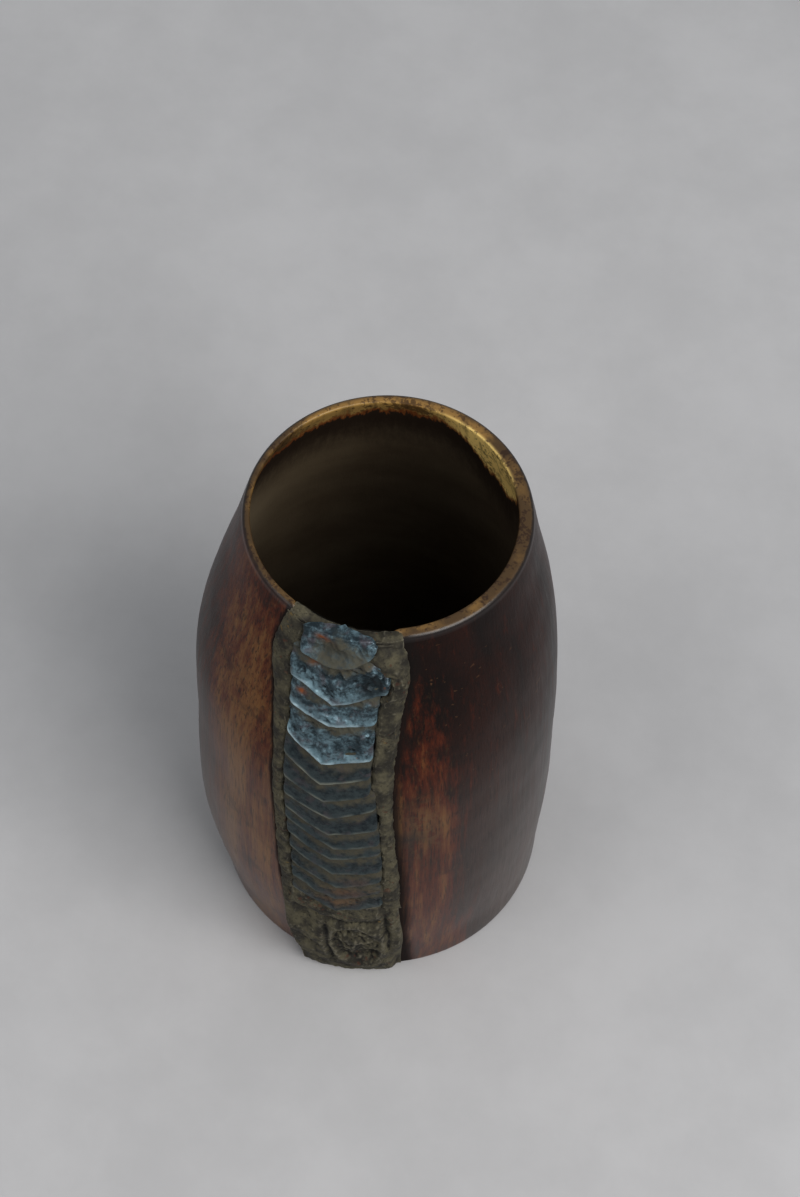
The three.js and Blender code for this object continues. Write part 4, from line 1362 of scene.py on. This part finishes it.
@dataclass
class Mastic:
    """The mastic: two beads, the made-good lip, the filled crack and the lump at the foot.

    A section's corners are shares of a bead's width and height, distances out from the wall and
    up from the lip, or distances across and out at the crack. What lies on the lump has its
    height as a share of the lump's. A grid has its faces round the section and along the piece.
    """

    repair: Repair
    finish: bpy.types.Material
    outline: Outline = OUTLINE
    bead_grid: tuple[int, int] = (52, 320)
    bead_height: float = 2.3
    bead_setback: float = 1.9
    bead_sunk: float = 5.0
    bead_section: Knots = (
        (0.0, 0.0), (-0.04, 0.35), (0.04, 0.72), (0.16, 0.95), (0.38, 1.0), (0.6, 0.92),
        (0.78, 0.72), (0.91, 0.4), (1.0, 0.08), (1.0, 0.0), (0.66, -0.04), (0.33, -0.04),
        (0.0, 0.0),
    )
    inner_edges: tuple[Knots, Knots] = (
        ((60, 14.6), (80, 14.8), (100, 15.2), (135, 15.2), (150, 14.7), (180, 14.4), (195, 14.8),
         (198.5, 14.2), (201, 12.4), (205, 12.0), (209, 12.2)),
        ((60, 15.2), (85, 15.3), (126, 15.2), (142, 13.3), (184, 13.1), (190, 15.4), (196, 15.0),
         (198.6, 11.4), (201, 8.8), (203.4, 8.2), (206, 10.2), (209, 10.6)),
    )
    swells: tuple[Knots, Knots] = (
        ((60, 0.9), (90, 1.0), (150, 0.85), (180, 0.9), (195, 1.0), (206, 0.8)),
        ((60, 0.85), (90, 0.9), (120, 0.85), (150, 0.85), (180, 0.95), (195, 1.4), (203, 1.1)),
    )
    lip_grid: tuple[int, int] = (52, 110)
    lip_reach: float = 18.0
    lip_section: Knots = (
        (0.35, -5.5), (1.05, -3.8), (0.9, -2.3), (0.4, -1.1), (-0.6, -0.45), (-1.7, -0.35),
        (-2.8, -0.5), (-3.5, -1.1), (-3.9, -2.2), (-3.9, -5.5), (-2.4, -5.9), (-1.0, -5.9),
        (0.35, -5.5),
    )
    lip_middle: float = -1.7
    crack_grid: tuple[int, int] = (48, 110)
    crack_span: tuple[float, float] = (66.3, 206.7)
    crack_section: Knots = ((1.0, 1.2), (0.0, 1.4), (-1.0, 1.2))
    smear_section: Knots = (
        (-1.0, 0.0), (-5.0, 0.05), (-4.0, 0.7), (-2.0, 1.1), (0.0, 1.2), (2.0, 1.1), (4.0, 0.7),
        (5.0, 0.05), (1.0, 0.0),
    )
    lump_grid: tuple[int, int] = (190, 150)
    lump_front: float = 0.86
    lump_foot: float = 0.4
    lump_half: float = 20.5
    lump_side: float = 3.2
    lobe: Patch = Patch(4.4, 0.47, 9.4, 0.27)
    pit: Patch = Patch(-12.2, 0.68, 3.2, 0.08, 2.0)
    ridge: Crossing = Crossing(0.5, 0.007, 0.045, 1.1)
    ledge: Crossing = Crossing(0.34, 0.004, 0.03, 0.7)
    band: Crossing = Crossing(0.88, 0.0, 0.07, 0.8)
    seam: Crossing = Crossing(0.775, 0.0, 0.035, -1.4)
    fold: Crossing = Crossing(0.264, -0.012, 0.05, -0.9)
    groove_at: float = -5.0
    side_groove_at: float = 15.6
    off_wood: float = 0.1

    def _wobble(self, height: float, side: float, size: float) -> float:
        """Uneven course of an edge, between -1 and 1."""
        return waver(height / size, side * 7.3, 1.7)

    def _settle(self, piece: Piece, node: str, gain: float) -> None:
        """Marks the relief of a piece of mastic and settles it."""
        mark_relief(piece, gain)
        settle(piece, Slot.MASTIC, self.finish, node, angle=60)

    def _bead(self, side: int, name: str, node: str) -> None:
        """Models one bead beside the laps' ends."""
        hand = -1 if side == 0 else 1
        foot = self._lump_top(hand * self.lump_half) - self.bead_sunk
        head = self.outline.height - self.bead_setback

        def place(around: float, onward: float) -> Vector:
            """Point of the bead."""
            height = lerp(foot, head, onward)
            share, lift = on_section(self.bead_section, around)
            inner = along(self.inner_edges[side], height) + self._wobble(height, side, 3.6)
            outer = self.repair.edge(side, height) + 0.5 * self._wobble(height, side + 2, 5.0)
            outer += 0.25 * self._wobble(height, side + 3, 1.6)
            tall = self.bead_height * along(self.swells[side], height)
            tall *= 1 + 0.22 * self._wobble(height, side + 5, 8.0)
            tall *= ease(head - height, -0.3, 4.0) * ease(height - foot, -1.0, 6.5)
            if 0 < lift:
                bumps = noise.fractal(Vector((height / 4.0, share * 1.6, side + 0.5)), 0.8, 2.2, 5)
                lift += 0.24 * bumps * ease(lift, 0.05, 0.6)
            across = hand * lerp(inner, outer, share)
            return self.outline.on_wall(across, height, self.off_wood + lift * tall)

        piece = closed_strip(name, *self.bead_grid, place)
        roughen(piece, grain=1.1, depth=0.22)
        self._settle(piece, node, gain=2.0)

    def _lip(self) -> None:
        """Models the mastic that makes good the chipped lip."""
        out, top = self.outline, self.outline.height

        def sunk(across: float) -> float:
            """How far the crown lies below the lip: lowest under the lip plate's tongue."""
            uneven = 0.45 + 0.5 * self._wobble(across, 11, 6.0)
            return max(uneven * ease(abs(across), 16.5, 13.0),
                       1.15 * ease(abs(across + 0.8), 13.8, 11.0), 0.0)

        def place(around: float, onward: float) -> Vector:
            """Point of the made-good lip."""
            across = lerp(-self.lip_reach, self.lip_reach, onward)
            reach, drop = on_section(self.lip_section, around)
            wall = out.radius if reach > -1.6 else out.inner_radius
            lean = wall(top + drop) - wall(top)
            ends = math.sqrt(max(0.0, 1 - (across / self.lip_reach) ** 8))
            reach = lerp(self.lip_middle, reach, lerp(0.75, 1.0, ends))
            reach += lean + 0.25 * self._wobble(across, 12 + around, 2.4)
            if drop > -2:
                drop -= sunk(across)
            return out.on_wall(across, top, reach) + Vector((0, 0, drop * MM))

        piece = closed_strip("lip_mastic", *self.lip_grid, place)
        roughen(piece, grain=1.3, depth=0.3, middle=0.8)
        self._settle(piece, "lip_fill", gain=2.0)

    def _crack(self) -> None:
        """Models the plug in the crack, with its smear inside."""
        plug = len(self.crack_section)
        total = plug + len(self.smear_section)

        def corner(index: int, height: float) -> Vector:
            """Corner of the plug or its smear by number."""
            if index < plug:
                across, lift = self.crack_section[index]
                return self.outline.on_wall(across, height, lift)
            across, lift = self.smear_section[index - plug]
            wide = 1 + 0.3 * self._wobble(height, 9, 6.0)
            return self.outline.in_hollow(across * wide, height, lift)

        def place(around: float, onward: float) -> Vector:
            """Point of the plug or its smear."""
            height = lerp(*self.crack_span, onward)
            spot = around * total
            first = min(int(spot), total - 1)
            after = corner((first + 1) % total, height)
            return corner(first, height).lerp(after, spot - first)

        piece = closed_strip("crack_mastic", *self.crack_grid, place)
        self._settle(piece, "crack_filler", gain=1.0)

    def _beyond(self, across: float) -> float:
        """0 under the last lap, 1 beside it."""
        reach = self.repair.laps[-1].reaches[0 if across < 0 else 1]
        return ease(abs(across), reach - 0.8, reach + 1.6)

    def _lump_top(self, across: float) -> float:
        """Height of the lump's upper edge, under the last lap and the beads."""
        last = len(self.repair.laps) - 1
        reaches = self.repair.laps[last].reaches
        held = clamp(across, -reaches[0], reaches[1])
        tucked = self.repair.tuck * self._beyond(across)
        return self.repair.bottom(last, held) - self.repair.gap - tucked

    def _lump_relief(self, across: float, share: float) -> float:
        """Relief of the lump's face: a sunk lobe within a ring, with ridges, folds and crumbs."""
        lobe = self.lobe.reach(across, share)
        ring = bell(lobe - 1.03, 0.2)
        crumbs = noise.fractal(Vector((across / 6.0, share * 9.0, 4.4)), 1.2, 2.0, 3)
        sunk = ease(lobe, 0.98, 0.74) * (1.7 - 2.2 * crumbs)
        ridges = self.ridge.at(across, share) + self.ledge.at(across, share)
        ridges *= ease(lobe, 1.0, 0.7)
        groove = 2.0 * bell(across - self.groove_at, 1.2)
        groove *= ease(share, 0.74, 0.6) * ease(share, 0.1, 0.3)
        groove += 1.5 * bell(across - self.side_groove_at, 1.2) * ease(share, 0.3, 0.5)
        folds = self.band.at(across, share) * ease(abs(across), 20.0, 15.0)
        folds += self.seam.at(across, share) * ease(abs(across + 1.0), 18.0, 12.0)
        folds += self.fold.at(across, share) * ease(across, -7.0, -9.0)
        fine = 0.6 * noise.fractal(Vector((across / 5.0, share * 9.0, 1.0)), 0.9, 2.1, 4)
        return ring - sunk + ridges - groove + folds - self.pit.at(across, share) + fine

    def _lump_lift(self, across: float, share: float) -> float:
        """Lift of the lump's face at a place across and a share up."""
        inward = clamp((self.lump_half - abs(across)) / self.lump_side)
        full = (1 - (1 - inward) ** 2.4) ** 0.5
        full *= lerp(1.0, ease(share, 1.02, 0.8), self._beyond(across))
        narrow = ease(abs(across), 19.6, 13.4) if across > 0 else ease(abs(across), 20.4, 17.0)
        full *= lerp(1.0, narrow, ease(share, 0.5, 0.05))
        proud = lerp(4.9, 3.4, ease(across, -14.0, 16.0))
        body = lerp(proud, 2.2, ease(share, 0.45, 0.8)) - 1.3 * ease(share, 0.09, 0.0)
        across += 1.3 * waver(share * 5.0, 3.1, 0.4)
        share += 0.04 * waver(across / 6.0, 8.1, 2.4)
        return max(0.2, full * (body + self._lump_relief(across, share)))

    def _lump(self) -> None:
        """Models the lump at the foot."""
        front = self.lump_front

        def place(around: float, onward: float) -> Vector:
            """Point of the lump."""
            across = lerp(-self.lump_half, self.lump_half, onward)
            share = around / front if around < front else (1 - around) / (1 - front)
            height = lerp(self.lump_foot, self._lump_top(across), share)
            lift = self._lump_lift(across, share) if 0 < around < front else 0.0
            slim = 4.0 * ease(share, 0.6, 0.0) if across > 0 else ease(share, 0.3, 0.0)
            across *= 1 - slim * ease(abs(across), 8.0, 20.0) / self.lump_half
            return self.outline.on_wall(across, height, self.off_wood + lift)

        piece = closed_strip("foot_mastic", *self.lump_grid, place)
        roughen(piece, grain=1.2, depth=0.25)
        self._settle(piece, "foot_lump", gain=3.0)

    def build(self) -> None:
        """Models and dresses every piece of mastic."""
        self._bead(0, "bead_mastic_left", "bead_left")
        self._bead(1, "bead_mastic_right", "bead_right")
        self._lip()
        self._crack()
        self._lump()


# The studio


@dataclass(frozen=True)
class Softbox:
    """A square soft light that looks at the vessel."""

    name: str
    azimuth: float
    elevation: float
    distance: float
    size: float
    power: float
    colour: tuple[float, float, float] = (1.0, 0.99, 0.98)

    def build(self, target: Vector) -> None:
        """Hangs the light."""
        back = towards(self.azimuth, self.elevation)
        data = bpy.data.lights.new(self.name, "AREA")
        data.energy, data.size, data.color = self.power, self.size, self.colour
        light = bpy.data.objects.new(self.name, data)
        light.location = target + back * self.distance
        light.rotation_euler = back.to_track_quat("Z", "Y").to_euler()
        bpy.context.scene.collection.objects.link(light)


@dataclass
class Studio:
    """Pale floor, soft light and the photograph's viewpoint."""

    floor_size: float = 36.0
    floor_shade: float = 0.92
    floor_colour: Colour = linear(187, 186, 186)
    world_colour: Colour = (0.94, 0.98, 1.03, 1.0)
    world_strength: float = 0.46
    gamma: float = 0.8
    azimuth: float = 13.0
    elevation: float = 58.72
    roll: float = 1.88
    distance: float = 809.6
    sideways: float = 4.3
    target_height: float = 160.0
    lens: float = 76.27
    sensor: float = 36.0
    lit_height: float = 100.0
    lights: tuple[Softbox, ...] = (
        Softbox("key", 60.0, 48.0, 2.4, 1.6, 51.0),
        Softbox("fill", -48.0, 40.0, 2.4, 1.6, 13.5),
    )

    def _floor(self) -> None:
        """Lays the floor."""
        deselect_all()
        bpy.ops.mesh.primitive_plane_add(size=self.floor_size)
        floor = bpy.context.object
        floor.name = "floor"
        material, s = new_material("floor_paint")
        place = s.place()
        cloud = s.noise(place, 14.0, detail=7.0, roughness=0.66)
        shade = tuple(channel * self.floor_shade for channel in self.floor_colour[:3]) + (1.0,)
        s.finish(Base_Color=s.mix(s.step(cloud, 0.3, 0.7), shade, self.floor_colour),
                 Roughness=0.75)
        floor.data.materials.append(material)

    def _camera(self) -> None:
        """Sets up the camera."""
        back, right = towards(self.azimuth, self.elevation), towards(self.azimuth + 90, 0)
        up, roll = back.cross(right), math.radians(self.roll)
        rolled_right = right * math.cos(roll) + up * math.sin(roll)
        rolled_up = up * math.cos(roll) - right * math.sin(roll)
        target = right * self.sideways + Vector((0, 0, self.target_height))
        data = bpy.data.cameras.new("camera")
        data.lens, data.sensor_width = self.lens, self.sensor
        camera = bpy.data.objects.new("camera", data)
        turned = Matrix((rolled_right, rolled_up, back)).transposed().to_4x4()
        turned.translation = (target + back * self.distance) * MM
        camera.matrix_world = turned
        bpy.context.scene.collection.objects.link(camera)
        bpy.context.scene.camera = camera

    def build(self) -> None:
        """Builds floor, world, lights and camera."""
        self._floor()
        world = bpy.data.worlds.new("studio")
        world.use_nodes = True
        background = world.node_tree.nodes["Background"]
        background.inputs["Color"].default_value = self.world_colour
        background.inputs["Strength"].default_value = self.world_strength
        bpy.context.scene.world = world
        bpy.context.scene.view_settings.view_transform = "Standard"
        bpy.context.scene.view_settings.gamma = self.gamma
        for light in self.lights:
            light.build(Vector((0, 0, self.lit_height * MM)))
        self._camera()


def main() -> None:
    """Builds the vessel and its studio."""
    logging.basicConfig(level=logging.INFO, format="%(message)s")
    Studio().build()
    finishes = Finishes.build()
    repair = Repair()
    VesselBody().build(finishes.wood, repair)
    repair.build(finishes)
    Mastic(repair, finishes.mastic).build()


if __name__ == "__main__":
    main()
